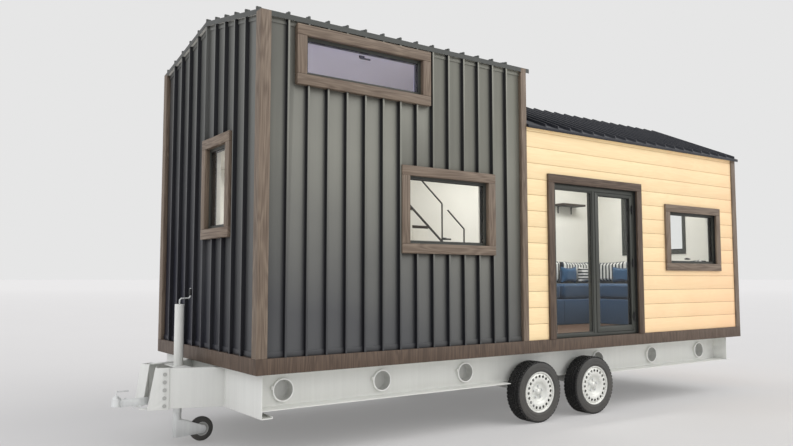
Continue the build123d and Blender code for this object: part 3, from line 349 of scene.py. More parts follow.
def sheet_shade_group():
    """Painted shade on folded wall sheet: darker towards its foot and along a lean, darkest in the folds beside the
    ribs.
    """
    tree, graph, given, result = node_group(
        "Folded sheet tone", "ShaderNodeTree",
        [("Colour", "colour"), ("Foot", "colour"), ("Fold", "colour"), ("Crease", "value"), ("Low", "value"),
         ("High", "value"), ("Lean", "vector")],
        [("Colour", "colour")],
    )
    place = graph.place()
    height = graph.parts(place)[2]
    cloud = graph.span(graph.noise(place, 1.6, 3.0, 0.5), 0.0, 1.0, -0.12, 0.12)
    share = graph.span(height, given["Low"], given["High"])
    # Painted light and shade: the sheet grows lighter along the lean and darker the other way.
    lean = graph.along(place, given["Lean"])
    share = graph.plus(graph.plus(share, lean), cloud, clamp=True)
    # Painted shade: the sheet turns to its darker foot colour low down.
    toned = graph.blend(share, given["Foot"], given["Colour"])
    # Painted shade in the folds beside the ribs.
    graph.feed(result.inputs["Colour"], graph.blend(given["Crease"], toned, given["Fold"]))
    return tree


def weave_group():
    """A plain weave: threads over and under each other, with a soft change of tone over the cloth."""
    tree, graph, given, result = node_group(
        "Plain weave", "ShaderNodeTree", [("Colour", "colour"), ("Threads", "value")],
        [("Colour", "colour"), ("Height", "value")],
    )
    place = graph.place()
    scaled = graph.add("ShaderNodeVectorMath", {0: place, "Scale": given["Threads"]}, operation="SCALE")
    waves = [graph.math("SINE", part) for part in graph.parts(scaled)]
    warp = graph.times(graph.plus(waves[0], waves[1]), waves[2])
    threads = graph.span(warp, -1.2, 1.2)
    slubs = graph.noise(place, 45.0, 3.0, 0.6)
    shade = graph.plus(graph.span(threads, 0, 1, 0.82, 1.06), graph.span(slubs, 0, 1, -0.1, 0.1))
    toned = graph.toned(given["Colour"], shade)
    graph.feed(result.inputs["Colour"], toned)
    graph.feed(result.inputs["Height"], graph.plus(threads, graph.times(slubs, 0.5)))
    return tree


GROUPS = {"grain": grain_group, "dust": dust_group, "sheet": sheet_group, "fold": sheet_shade_group, "weave": weave_group}
BUILT = {}


def effect(graph, name, inputs):
    """Places an effect that several materials share, with this material's own values."""
    if name not in BUILT:
        BUILT[name] = GROUPS[name]()
    node = graph.add("ShaderNodeGroup", node_tree=BUILT[name])
    for key, value in inputs.items():
        graph.feed(node.inputs[key], value)
    return node.outputs


# Materials


def surface(graph, colour, roughness, height, relief, **plain):
    """Ends a material: its shader takes colour and roughness from sockets or plain values, and a relief."""
    shader = graph.add("ShaderNodeBsdfPrincipled")
    graph.feed(shader.inputs["Base Color"], colour)
    graph.feed(shader.inputs["Roughness"], roughness)
    for key, value in plain.items():
        graph.feed(shader.inputs[key.replace("_", " ")], value)
    bump = graph.add("ShaderNodeBump", {"Height": height, "Distance": relief, "Strength": 1.0})
    graph.feed(shader.inputs["Normal"], bump)
    graph.add("ShaderNodeOutputMaterial", {"Surface": shader})
    return graph.material


def blank(name):
    """The empty graph of a new material."""
    material = bpy.data.materials.new(name)
    material.use_nodes = True
    material.node_tree.nodes.clear()
    return Graph(material.node_tree, material)


def timber(name, base, dark, strength=0.8, spread=0.16, rough=0.55, dusty=0.0, relief=0.0006, warm=None):
    """Timber whose grain follows each board's own length, and may turn redder towards the rear and the foot."""
    graph = blank(name)
    base = four(base)
    if warm is not None:
        place = graph.place()
        lean = graph.along(place, (0.24, 0, -0.22))
        cloud = graph.span(graph.noise(place, 1.3, 4.0, 0.6), 0.3, 0.7, -0.25, 0.25)
        base = graph.blend(graph.plus(graph.plus(lean, 0.12), cloud, clamp=True), base, four(warm))
    grain = effect(graph, "grain", {
        "Coordinate": graph.add("ShaderNodeUVMap", uv_map="Grain"),
        "Tone": graph.attribute("tone"),
        "Base": base, "Dark": four(dark), "Strength": strength, "Spread": spread,
    })
    dust = effect(graph, "dust", {"Colour": grain["Colour"], "Dust": four(srgb(176, 164, 148)),
                                  "Amount": dusty, "Low": 0.7, "High": 1.6})
    rough_here = graph.span(grain["Height"], 0.0, 1.0, rough + 0.12, rough - 0.08)
    return surface(graph, dust["Colour"], rough_here, grain["Height"], relief)


def painted(name, colour, rough, metallic, dusty, waves, texture, shade, low=0.0, high=1.2):
    """Painted or plated metal, with waves, streaks of a lighter and a darker shade, and dust between two heights."""
    graph = blank(name)
    sheet = effect(graph, "sheet", {"Waves": waves, "Texture": texture})
    value = graph.span(sheet["Streaks"], 0.0, 1.0, 1.0 - shade, 1.0 + shade)
    streaked = graph.toned(four(colour), value)
    dusted = effect(graph, "dust", {"Colour": streaked, "Dust": four(srgb(150, 142, 132)),
                                    "Amount": dusty, "Low": low, "High": high})
    worn = graph.times(dusted["Mask"], 0.5)
    patch = graph.plus(graph.span(sheet["Streaks"], 0.0, 1.0, rough - 0.04, rough + 0.06), worn, clamp=True)
    return surface(graph, dusted["Colour"], patch, sheet["Height"], 0.004, Metallic=metallic)


def folded(name, colour, foot, low, high, lean):
    """Ribbed wall sheet: coated metal with long streaks, with painted shade low down, along a lean and in its folds.
    """
    graph = blank(name)
    sheet = effect(graph, "sheet", {"Waves": 0.3, "Texture": 0.03})
    # Painted shade: darker low down, along a lean and in the folds beside the ribs.
    tone = effect(graph, "fold", {
        "Colour": four(colour), "Foot": four(foot), "Fold": four(look("metal").crease), "Low": low, "High": high,
        "Crease": graph.attribute("crease"), "Lean": lean,
    })
    value = graph.span(sheet["Streaks"], 0.0, 1.0, 0.94, 1.06)
    streaked = graph.toned(tone["Colour"], value)
    rough_here = graph.span(sheet["Streaks"], 0.0, 1.0, 0.40, 0.50)
    return surface(graph, streaked, rough_here, sheet["Height"], 0.004, Metallic=0.3)


def moulded(name, colour, rough, fine, dusty=0.0):
    """Rubber or plastic with a fine moulded texture and a little dust."""
    graph = blank(name)
    place = graph.place()
    pores = graph.noise(place, fine, 2.0, 0.5)
    dusted = effect(graph, "dust", {"Colour": four(colour), "Dust": four(srgb(142, 134, 122)), "Amount": dusty,
                                    "Low": 0.0, "High": 0.9})
    rough_here = graph.span(graph.noise(place, 14.0, 3.0, 0.6), 0.3, 0.7, rough - 0.06, rough + 0.1)
    return surface(graph, dusted["Colour"], rough_here, pores, 0.0004)


def plaster(name, colour):
    """A painted lining with a faint roller texture and soft changes of tone."""
    graph = blank(name)
    place = graph.place()
    cloud = graph.span(graph.noise(place, 2.4, 3.0, 0.5), 0.3, 0.7, 0.95, 1.02)
    stipple = graph.noise(place, 210.0, 3.0, 0.6)
    toned = graph.toned(four(colour), cloud)
    return surface(graph, toned, graph.span(stipple, 0, 1, 0.70, 0.85), stipple, 0.0012)


def cloth(name, colour, threads=1150.0):
    """Woven upholstery cloth."""
    graph = blank(name)
    weave = effect(graph, "weave", {"Colour": four(colour), "Threads": threads})
    rough = graph.span(weave["Height"], 0, 1.5, 0.95, 0.78)
    return surface(graph, weave["Colour"], rough, weave["Height"], 0.0012, Sheen_Weight=0.25)


def striped_cloth(name, pale, dark, axis, pitch=0.062, share=0.42):
    """Woven cloth with dark stripes across one axis."""
    graph = blank(name)
    place = graph.place()
    waver = graph.span(graph.noise(place, 9.0, 2.0, 0.5), 0.0, 1.0, -0.004, 0.004)
    along = graph.plus(graph.parts(place)[axis], waver)
    turn = graph.math("FRACT", graph.plus(graph.math("DIVIDE", along, pitch), 40.0))
    edge = graph.math("ABSOLUTE", graph.less(turn, 0.5))
    stripe = graph.span(edge, share / 2 + 0.02, share / 2 - 0.02)
    both = graph.blend(stripe, four(pale), four(dark))
    weave = effect(graph, "weave", {"Colour": both, "Threads": 1150.0})
    rough = graph.span(weave["Height"], 0, 1.5, 0.95, 0.8)
    return surface(graph, weave["Colour"], rough, weave["Height"], 0.0012, Sheen_Weight=0.2)


def glazing(name, tint):
    """Clear glazing that lets the lamps through: bent light for the eye, plain shadow for the lamps."""
    graph = blank(name)
    shader = graph.add("ShaderNodeBsdfPrincipled", {
        "Base Color": four(tint), "Roughness": 0.0, "Transmission Weight": 1.0, "IOR": 1.22,
    })
    clear = graph.add("ShaderNodeBsdfTransparent", {"Color": four(tint)})
    path = graph.add("ShaderNodeLightPath")
    lamps = graph.math("MAXIMUM", path.outputs["Is Shadow Ray"], path.outputs["Is Diffuse Ray"])
    mixed = graph.add("ShaderNodeMixShader", {0: lamps, 1: shader, 2: clear})
    graph.add("ShaderNodeOutputMaterial", {"Surface": mixed})
    return graph.material


def make_finishes():
    """Every finish of the house by name."""
    wood, metal, room = look("timber"), look("metal"), look("room")
    return {
        "pale_boards": timber("Pale boards", wood.pale, wood.pale_grain, 0.5, 0.05, 0.55, 0.0, 0.0004, wood.warm),
        "board_joint": timber("Board joint", wood.joint, wood.joint, 0.5, 0.1, 0.9),
        "stained": timber("Stained timber", wood.stain, wood.stain_grain, 1.0, 0.1, 0.6, 0.1, 0.0009),
        # Painted shade: the stain darkened for the skirt and the door surround.
        "skirt": timber("Skirt timber", wood.skirt, wood.skirt_grain, 1.0, 0.1, 0.6, 0.0, 0.0009),
        "floor_boards": timber("Floor boards", room.floor, srgb(84, 62, 46), 0.8, 0.25, 0.38),
        "treads": timber("Dark treads", room.tread, srgb(38, 31, 27), 0.8, 0.15, 0.42),
        "white_boards": timber("White boards", room.lining, srgb(212, 208, 198), 0.35, 0.04, 0.5, 0.0, 0.0002),
        # The leans are painted light and shade: the wall sheet lighter towards the rear, the end sheet lighter
        # towards the door side.
        "sheet": folded("Wall sheet", metal.sheet, metal.sheet_low_shade, 0.5, 2.6, (0.13, 0, 0)),
        # A darker copy of the wall sheet: painted shade on the end walls.
        "end_sheet": folded("End sheet", metal.end, metal.end_low, 0.8, 4.0, (0, -0.26, 0)),
        "strips": painted("Edge strips", metal.strips, 0.4, 0.5, 0.0, 0.1, 0.04, 0.05),
        # Painted highlight: a lighter copy of the chassis paint on the cups' rolled lips.
        "rim_lip": painted("Rolled lip", srgb(240, 240, 237), 0.3, 0.0, 0.0, 0.05, 0.05, 0.03),
        # Painted shade: the chassis paint darkened inside the cups.
        "cup": painted("Cup paint", shaded(metal.chassis, 0.74), 0.45, 0.0, 0.2, 0.1, 0.06, 0.05),
        "roof": painted("Roof sheet", metal.roof, 0.46, 0.15, 0.0, 0.3, 0.04, 0.08),
        "chassis": painted("Chassis paint", metal.chassis, 0.42, 0.0, 0.16, 0.1, 0.06, 0.03, 0.1, 0.8),
        "zinc": painted("Plated steel", metal.zinc, 0.38, 0.55, 0.14, 0.1, 0.1, 0.07, 0.0, 0.6),
        # Painted shade: the chassis paint darkened for the axles under the house.
        "axle": painted("Axle paint", shaded(metal.chassis, 0.8), 0.5, 0.0, 0.3, 0.1, 0.2, 0.1, 0.0, 0.9),
        "wheel": painted("Wheel paint", metal.wheel, 0.34, 0.25, 0.16, 0.05, 0.05, 0.03, 0.0, 0.7),
        "bolt": painted("Bolt coat", shaded(metal.chassis, 0.6), 0.35, 0.3, 0.1, 0.05, 0.05, 0.05),
        # Painted shade: the dark discs in the nut recesses.
        "nut": painted("Dark nuts", srgb(52, 52, 54), 0.35, 0.6, 0.1, 0.05, 0.05, 0.05),
        "frames": painted("Frame coat", metal.frames, 0.42, 0.15, 0.0, 0.03, 0.1, 0.04),
        "black": moulded("Black plastic", srgb(28, 28, 30), 0.38, 500.0),
        "gasket": moulded("Gasket", srgb(20, 20, 21), 0.7, 700.0),
        "rubber": moulded("Tyre rubber", srgb(58, 58, 57), 0.62, 260.0, 0.3),
        "hub": moulded("Hub plastic", srgb(186, 187, 184), 0.5, 300.0, 0.2),
        "lining": plaster("Lining", room.lining),
        "rail": painted("Rail paint", srgb(72, 70, 68), 0.5, 0.2, 0.0, 0.03, 0.1, 0.05),
        "glass": glazing("Glazing", (0.96, 0.97, 0.96)),
        "blue_glass": glazing("Tinted glazing", (0.72, 0.71, 1.0)),
        "sofa": cloth("Sofa cloth", room.sofa),
        "piping": cloth("Piping cloth", shaded(room.sofa, 0.5)),
        "pillow": cloth("Pillow cloth", room.pillow, 1400.0),
        "stripes_x": striped_cloth("Stripes along the side", room.cloth, room.stripe, 0),
        "stripes_y": striped_cloth("Stripes across the end", room.cloth, room.stripe, 1),
        "stripes_z": striped_cloth("Stripes on a pillow", room.cloth, room.stripe, 2, 0.046, 0.45),
    }


FINISHES = {}


def finish_of(name):
    """A finish by name; the whole set is made the first time one is asked for."""
    if not FINISHES:
        FINISHES.update(make_finishes())
    return FINISHES[name]


# Meshes


def node_box(node):
    """Lowest and highest corner of a frame piece."""
    low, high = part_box(node)
    return Vector(low), Vector(high)


def merged(node):
    """A mesh of a frame piece whose loose triangles are joined at their corners."""
    mesh = bmesh.new()
    mesh.from_mesh(frame["nodes"][node].data)
    bmesh.ops.remove_doubles(mesh, verts=mesh.verts, dist=1e-5)
    return mesh


def connected(faces):
    """The connected parts of some faces, in the order of their first faces, so that each run gives the same."""
    waiting = set(faces)
    parts = []
    for first in faces:
        if first not in waiting:
            continue
        waiting.remove(first)
        stack, part = [first], []
        while stack:
            face = stack.pop()
            part.append(face)
            for edge in face.edges:
                for other in edge.link_faces:
                    if other in waiting:
                        waiting.remove(other)
                        stack.append(other)
        parts.append(part)
    return parts


def islands(mesh):
    """The faces of each connected part of a mesh."""
    return connected(mesh.faces)


def reach(faces):
    """Lowest and highest corner of a group of faces."""
    places = [vert.co for face in faces for vert in face.verts]
    return tuple(Vector(pick(place[axis] for place in places) for axis in range(3)) for pick in (min, max))


def solid_boxes(node):
    """The box of each separate solid of a frame piece, from the coupling to the rear."""
    mesh = merged(node)
    boxes = [reach(faces) for faces in islands(mesh)]
    mesh.free()
    return sorted(boxes, key=lambda box: tuple(box[0] + box[1]))


def eased(mesh, width, segments=2, angle=30):
    """Rounds the edges that are sharper than an angle."""
    if width > 0:
        limit = math.radians(angle)
        sharp = [e for e in mesh.edges if len(e.link_faces) == 2 and e.calc_face_angle(0) > limit]
        bmesh.ops.bevel(mesh, geom=sharp, offset=width, offset_type="OFFSET", segments=segments, profile=0.5,
                        affect="EDGES", clamp_overlap=True)
    return mesh


def whole_faces(mesh):
    """A mesh whose flat faces are no longer cut into triangles."""
    bmesh.ops.dissolve_limit(mesh, angle_limit=math.radians(1), verts=mesh.verts, edges=mesh.edges)
    return mesh


def cut_at(mesh, place, normal, drop=False):
    """Cuts a mesh's faces along a plane, and may drop what lies beyond it. Returns what lies on the cut."""
    return bmesh.ops.bisect_plane(mesh, geom=mesh.verts[:] + mesh.edges[:] + mesh.faces[:], plane_co=place,
                                  plane_no=normal, clear_outer=drop)["geom_cut"]


def softened(node, width, segments=2):
    """A frame piece with whole flat faces and rounded edges."""
    mesh = merged(node)
    return eased(whole_faces(mesh), width, segments)


def six_sided(mesh, near, far):
    """Adds a solid between two four-cornered outlines."""
    first = [mesh.verts.new(place) for place in near]
    second = [mesh.verts.new(place) for place in far]
    faces = [mesh.faces.new(first), mesh.faces.new(list(reversed(second)))]
    for step in range(4):
        after = (step + 1) % 4
        faces.append(mesh.faces.new((first[after], first[step], second[step], second[after])))
    bmesh.ops.recalc_face_normals(mesh, faces=faces)
    return faces


def slab(mesh, low, high):
    """Adds a straight block between two corners."""
    outline = ((low[0], low[1]), (high[0], low[1]), (high[0], high[1]), (low[0], high[1]))
    six_sided(mesh, [(x, y, low[2]) for x, y in outline], [(x, y, high[2]) for x, y in outline])


def lathe(mesh, profile, steps=72, closed=True):
    """Turns an outline of (radius, depth) points about the Y axis."""
    rings = []
    for step in range(steps):
        turn = 2 * math.pi * step / steps
        rings.append([mesh.verts.new((radius * math.cos(turn), depth, radius * math.sin(turn)))
                      for radius, depth in profile])
    count = len(profile)
    last = count if closed else count - 1
    for ring, after in zip(rings, rings[1:] + rings[:1]):
        for point in range(last):
            following = (point + 1) % count
            mesh.faces.new((ring[point], ring[following], after[following], after[point]))
    bmesh.ops.remove_doubles(mesh, verts=mesh.verts, dist=1e-6)
    bmesh.ops.recalc_face_normals(mesh, faces=mesh.faces)


def linked(name, data):
    """A new object in the scene."""
    obj = bpy.data.objects.new(name, data)
    bpy.context.scene.collection.objects.link(obj)
    return obj


def stored(name, mesh):
    """A mesh, kept as data that an object can show."""
    data = bpy.data.meshes.new(name)
    mesh.to_mesh(data)
    mesh.free()
    return data


def finished(obj):
    """The mesh that an object's modifiers give it, which are then removed."""
    data = bpy.data.meshes.new_from_object(obj.evaluated_get(bpy.context.evaluated_depsgraph_get()))
    obj.modifiers.clear()
    return data


def piece(name, mesh, finishes, body="root", stands_for=None, smooth=None, grain=None):
    """Makes an object of a mesh, with its materials and its place among the bodies.

    smooth is the angle up to which it is shaded round, and grain the axis of its boards."""
    data = stored(name, mesh)
    if grain is not None:
        lay_grain(data, name, grain)
    if smooth:
        data.polygons.foreach_set("use_smooth", [True] * len(data.polygons))
        data.set_sharp_from_angle(angle=math.radians(smooth))
    for finish in [finishes] if isinstance(finishes, str) else finishes:
        data.materials.append(finish_of(finish))
    obj = linked(name, data)
    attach(obj, body)
    if stands_for:
        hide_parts(stands_for)
    return obj


def grain_layers(mesh):
    """New layers for the map of the grain and for the boards' tones."""
    return mesh.loops.layers.uv.new("Grain"), mesh.faces.layers.float.new("tone")


def lay_board(faces, chart, tone, along, shift, shade):
    """Gives one board its tone, and a map in metres along its grain."""
    for face in faces:
        face[tone] = shade
        for loop in face.loops:
            place = loop.vert.co
            loop[chart].uv = (place[along] + shift, sum(place) - place[along] + 1.7 * shift)


def lay_grain(data, seed, axis):
    """Gives each board a map in metres along its own grain, and a tone. The axis is x, y, z or long."""
    mesh = bmesh.new()
    mesh.from_mesh(data)
    chart, tone = grain_layers(mesh)
    chance = random.Random(seed)
    for faces in islands(mesh):
        low, high = reach(faces)
        size = high - low
        along = "xyz".index(axis) if axis in "xyz" else max(range(3), key=lambda k: size[k])
        shift, shade = 9 * chance.random(), chance.random()
        lay_board(faces, chart, tone, along, shift, shade)
    mesh.to_mesh(data)
    mesh.free()


def body_of(node):
    """The body that a frame piece moves with."""
    return frame["nodes"][node]["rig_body"]


# Geometry trees


def tree_mesh(name, finish, values, base=None):
    """The mesh that a geometry tree makes with these values, on an object of its own that is then removed."""
    if name not in BUILT:
        build, inputs = TREES[name]
        BUILT[name] = shape_tree(name, inputs, build)
    tree = BUILT[name]
    obj = linked(name, base or bpy.data.meshes.new(name))
    modifier = obj.modifiers.new(name, "NODES")
    modifier.node_group = tree
    labels = {item.name: item.identifier for item in tree.interface.items_tree if item.in_out == "INPUT"}
    for label, value in {**values, "Material": finish_of(finish)}.items():
        modifier[labels[label]] = value
    mesh = bmesh.new()
    mesh.from_mesh(finished(obj))
    bpy.data.objects.remove(obj)
    return mesh


def shape_tree(name, inputs, build):
    """A geometry tree: what a function builds from its inputs, as real meshes in a given material."""
    tree, graph, given, result = node_group(name, "GeometryNodeTree", [*inputs, ("Material", "material")],
                                            [("Geometry", "geometry")])
    real = graph.add("GeometryNodeRealizeInstances", {"Geometry": build(graph, given)})
    graph.feed(result.inputs["Geometry"], graph.add(
        "GeometryNodeSetMaterial", {"Geometry": real, "Material": given["Material"]}))
    return tree


def courses(graph, given):
    """Level boards in courses between two ends and two heights, cut where a course passes a height."""
    line = graph.add("GeometryNodeMeshLine", {"Count": given["Count"]})
    row = graph.add("GeometryNodeInputIndex")
    foot = graph.plus(given["Base"], graph.times(row.outputs[0], given["Pitch"]))
    low = graph.math("MAXIMUM", foot, given["Low"])
    head = graph.less(graph.plus(foot, given["Pitch"]), given["Joint"])
    high = graph.math("MINIMUM", head, given["High"])
    height = graph.less(high, low)
    width = graph.less(given["End"], given["Start"])
    middle = graph.add("ShaderNodeCombineXYZ", {
        0: graph.times(graph.plus(given["Start"], given["End"]), 0.5),
        1: graph.times(given["Thickness"], 0.5),
        2: graph.times(graph.plus(low, high), 0.5),
    })
    size = graph.add("ShaderNodeCombineXYZ", {0: width, 1: given["Thickness"], 2: height})
    placed = graph.add("GeometryNodeSetPosition", {"Geometry": line, "Position": middle})
    kept = graph.add("FunctionNodeCompare", {"A": height, "B": 0.008}, data_type="FLOAT", operation="GREATER_THAN")
    return graph.add("GeometryNodeInstanceOnPoints", {
        "Points": placed, "Selection": kept, "Instance": graph.add("GeometryNodeMeshCube"), "Scale": size,
    })


def heads(graph, given):
    """Heads on washers at the points of a given mesh: six-sided or round, all facing the same way."""
    head = graph.add("GeometryNodeMeshCylinder", {
        "Vertices": given["Sides"], "Radius": given["Radius"], "Depth": given["Height"],
    })
    washer = graph.add("GeometryNodeMeshCylinder", {
        "Vertices": 20, "Radius": given["Washer"], "Depth": graph.times(given["Height"], 0.35),
    })
    both = graph.add("GeometryNodeJoinGeometry")
    graph.feed(both.inputs[0], head)
    graph.feed(both.inputs[0], washer)
    return graph.add("GeometryNodeInstanceOnPoints", {
        "Points": given["Geometry"], "Instance": both, "Rotation": given["Turn"],
    })


def tread(graph, given):
    """A row of tread blocks round a tyre, each leant over across the tread."""
    line = graph.add("GeometryNodeMeshLine", {"Count": given["Around"]})
    share = graph.math("DIVIDE", graph.add("GeometryNodeInputIndex").outputs[0], given["Around"])
    turn = graph.times(share, 2 * math.pi)
    place = graph.add("ShaderNodeCombineXYZ", {
        0: graph.times(graph.math("COSINE", turn), given["Radius"]),
        2: graph.times(graph.math("SINE", turn), given["Radius"]),
    })
    ring = graph.add("GeometryNodeSetPosition", {"Geometry": line, "Position": place})
    block = graph.add("GeometryNodeTransform", {
        "Geometry": graph.add("GeometryNodeMeshCube", {"Size": given["Block"]}),
        "Rotation": graph.add("ShaderNodeCombineXYZ", {2: given["Lean"]}),
    })
    return graph.add("GeometryNodeInstanceOnPoints", {
        "Points": ring, "Instance": block,
        "Rotation": graph.add("ShaderNodeCombineXYZ", {1: graph.times(turn, -1.0)}),
    })


def blocks(graph, given):
    """A block at each point of a given mesh."""
    block = graph.add("GeometryNodeMeshCube", {"Size": given["Size"]})
    return graph.add("GeometryNodeInstanceOnPoints", {"Points": given["Geometry"], "Instance": block})


def tube(graph, given):
    """A round bar along the edges of a given mesh, with its corners bent to a radius."""
    path = graph.add("GeometryNodeMeshToCurve", {"Mesh": given["Geometry"]})
    bent = graph.add("GeometryNodeFilletCurve", {
        "Curve": path, "Radius": given["Bend"], "Count": 6, "Limit Radius": True,
    }, mode="POLY")
    ring = graph.add("GeometryNodeCurvePrimitiveCircle", {"Resolution": given["Sides"], "Radius": given["Radius"]})
    return graph.add("GeometryNodeCurveToMesh", {"Curve": bent, "Profile Curve": ring, "Fill Caps": True})


POINTS = ("Geometry", "geometry")
TREES = {
    "Board courses": (courses, [("Start", "value"), ("End", "value"), ("Low", "value"), ("High", "value"),
                                ("Base", "value"), ("Pitch", "value"), ("Joint", "value"), ("Thickness", "value"),
                                ("Count", "count")]),
    "Fasteners": (heads, [POINTS, ("Sides", "count"), ("Radius", "value"), ("Height", "value"), ("Washer", "value"),
                          ("Turn", "vector")]),
    "Tread blocks": (tread, [("Radius", "value"), ("Around", "count"), ("Lean", "value"), ("Block", "vector")]),
    "Blocks": (blocks, [POINTS, ("Size", "vector")]),
    "Bent bar": (tube, [POINTS, ("Radius", "value"), ("Bend", "value"), ("Sides", "count")]),
}


def point_mesh(places, edges=()):
    """A mesh of loose points, with edges between them where a path is wanted."""
    data = bpy.data.meshes.new("points")
    data.from_pydata([tuple(place) for place in places], list(edges), [])
    return data


def fasteners(places, turn, radius, height, washer, finish="zinc", sides=6):
    """A mesh of bolt or screw heads on washers at some places."""
    return tree_mesh("Fasteners", finish, {
        "Sides": sides, "Radius": radius, "Height": height, "Washer": washer, "Turn": turn,
    }, point_mesh(places))


def bar(path, radius, bend=0.0, closed=False, sides=14, finish="zinc"):
    """A mesh of a round bar along a path."""
    edges = [(step, step + 1) for step in range(len(path) - 1)]
    if closed:
        edges.append((len(path) - 1, 0))
    mesh = tree_mesh("Bent bar", finish, {"Radius": radius, "Bend": bend, "Sides": sides}, point_mesh(path, edges))
    bmesh.ops.recalc_face_normals(mesh, faces=mesh.faces)
    return mesh


def joined(meshes):
    """One mesh of several."""
    whole = bmesh.new()
    for mesh in meshes:
        data = stored("part", mesh)
        whole.from_mesh(data)
        bpy.data.meshes.remove(data)
    return whole


# Walls of the living section


class Wall:
    """A wall seen from outside: along it, up it, and inwards from its outer face."""

    def __init__(self, node, inwards):
        self.node = node
        self.inwards = Vector(inwards)
        self.along = Vector((0, 0, 1)).cross(self.inwards) * -1
        low, high = node_box(node)
        corners = [Vector((x, y, z)) for x, y, z in product(*zip(low, high))]
        self.face = min(corner.dot(self.inwards) for corner in corners)
        self.start = min(corner.dot(self.along) for corner in corners)
        self.end = max(corner.dot(self.along) for corner in corners)
        self.low = low.z
        outer = [v.co.z for v in frame["nodes"][node].data.vertices if v.co.dot(self.inwards) < self.face + NEAR]
        self.high = max(outer)

    def matrix(self):
        """Turns (along, in, up) into places in the frame."""
        turned = Matrix((self.along, self.inwards, Vector((0, 0, 1)))).transposed().to_4x4()
        return Matrix.Translation(self.inwards * self.face) @ turned

    def hole(self, box, margin):
        """The ends and heights of an opening on this wall, with a margin for its lining."""
        ends = sorted(corner.dot(self.along) for corner in box)
        return (ends[0] - margin, ends[1] + margin, box[0].z - margin, box[1].z + margin)


def columns(wall, holes):
    """The upright strips of a wall beside, below and above its openings, as (start, end, low, high)."""
    strips = []
    reached = wall.start
    for start, end, low, high in sorted(holes):
        strips.append((reached, start, wall.low, wall.high))
        strips.append((start, end, wall.low, low))
        strips.append((start, end, high, wall.high))
        reached = end
    strips.append((reached, wall.end, wall.low, wall.high))
    return [strip for strip in strips if strip[1] - strip[0] > 0.001 and strip[3] - strip[2] > 0.001]


def boards_on(wall, holes):
    """A mesh of the boards on one wall, in the frame. Each course keeps its grain and tone past openings."""
    wood = look("timber")
    mesh = joined([tree_mesh("Board courses", "pale_boards", {
        "Start": start, "End": end, "Low": low, "High": high, "Base": wall.low, "Pitch": wood.pitch,
        "Joint": wood.gap, "Thickness": wood.thickness, "Count": 24,
    }) for start, end, low, high in columns(wall, holes)])
    chart, tone = grain_layers(mesh)
    for faces in islands(mesh):
        low, high = reach(faces)
        chance = random.Random(f"{wall.node}{int(((low.z + high.z) / 2 - wall.low) / wood.pitch)}")
        shade, shift = chance.random(), 9 * chance.random()
        lay_board(faces, chart, tone, 0, shift, shade)
    level = [e for e in mesh.edges if abs((e.verts[0].co - e.verts[1].co).normalized().x) > 0.99]
    bmesh.ops.bevel(mesh, geom=level, offset=wood.edge, offset_type="OFFSET", segments=2, profile=0.5,
                    affect="EDGES", clamp_overlap=True)
    mesh.transform(wall.matrix())
    return mesh


def core_of(node, *inwards):
    """The wall behind its boards: the frame piece with its boarded faces moved in and darkened."""
    thickness = look("timber").thickness
    mesh = whole_faces(merged(node))
    for way in inwards:
        way = Vector(way)
        face = min(vert.co.dot(way) for vert in mesh.verts)
        for vert in mesh.verts:
            if vert.co.dot(way) < face + 1e-4:
                vert.co += way * thickness
    mesh.normal_update()
    for face in mesh.faces:
        face.material_index = 1 if any(face.normal.dot(Vector(way)) < -0.9 for way in inwards) else 0
    return mesh


def cut_off(mesh, place, normal):
    """Cuts a mesh of closed boards at a plane, drops what lies beyond it and closes the cuts."""
    edges = [item for item in cut_at(mesh, place, normal, True) if isinstance(item, bmesh.types.BMEdge)]
    bmesh.ops.holes_fill(mesh, edges=edges, sides=0)
    bmesh.ops.recalc_face_normals(mesh, faces=mesh.faces)


def under_roof(mesh, node):
    """Cuts a gable's boards at both slopes of the roof above a frame piece."""
    side = node_box(node)[1].y
    places = [vert.co for vert in frame["nodes"][node].data.vertices]
    ridge = max(place.z for place in places if abs(place.y) < NEAR)
    eave = max(place.z for place in places if place.y > side - NEAR)
    for way in (1, -1):
        cut_off(mesh, Vector((0, 0, ridge - 0.002)), Vector((0, way * (ridge - eave) / side, 1)).normalized())


def build_boards():
    """Boards on the faces of the living section, each over its own walls."""
    wood = look("timber")
    frames = solid_boxes("window_frames")
    window = max((box for box in frames if box[0].y < -1), key=lambda box: box[0].x)
    rear = max(frames, key=lambda box: box[0].x)
    end_low, end_high = node_box("rear_end_wall")
    front_start = node_box("living_wall_left")[0].x
    for name, node, inwards, openings in (
        ("front", "living_wall_left", (0, 1, 0), (node_box("door_frame"), window)),
        ("back", "living_back_wall", (0, -1, 0), ()), ("rear", "rear_end_wall", (-1, 0, 0), (rear,)),
    ):
        wall = Wall(node, inwards)
        holes = [wall.hole(box, LINING) for box in openings]
        if name == "rear":
            wall.start, wall.end = end_low.y + 0.002, end_high.y - 0.002
        else:
            wall.start, wall.end = sorted(wall.along.x * place for place in (front_start, end_high.x))
            if wall.along.x > 0:
                wall.end -= wood.thickness
            else:
                wall.start += wood.thickness
        mesh = boards_on(wall, holes)
        if name == "rear":
            under_roof(mesh, node)
        piece(name + "_boards", mesh, "pale_boards", smooth=30)
    for node, ways in (
        ("living_wall_left", [(0, 1, 0)]), ("living_wall_head", [(0, 1, 0)]), ("living_wall_right", [(0, 1, 0)]),
        ("living_back_wall", [(0, -1, 0)]), ("rear_end_wall", [(-1, 0, 0), (0, 1, 0), (0, -1, 0)]),
    ):
        mesh = core_of(node, *ways)
        piece(node + "_core", mesh, ["lining", "board_joint"], stands_for=node, grain="long")
    linings = bmesh.new()
    for box, out in ((node_box("door_frame"), (0, -1, 0)), (window, (0, -1, 0)), (rear, (1, 0, 0))):
        Opening(box, out).ring(linings, -LINING, 0.0, -wood.thickness + 0.001, 0.02)
    piece("reveal_linings", eased(linings, 0.001), "gasket", smooth=35)


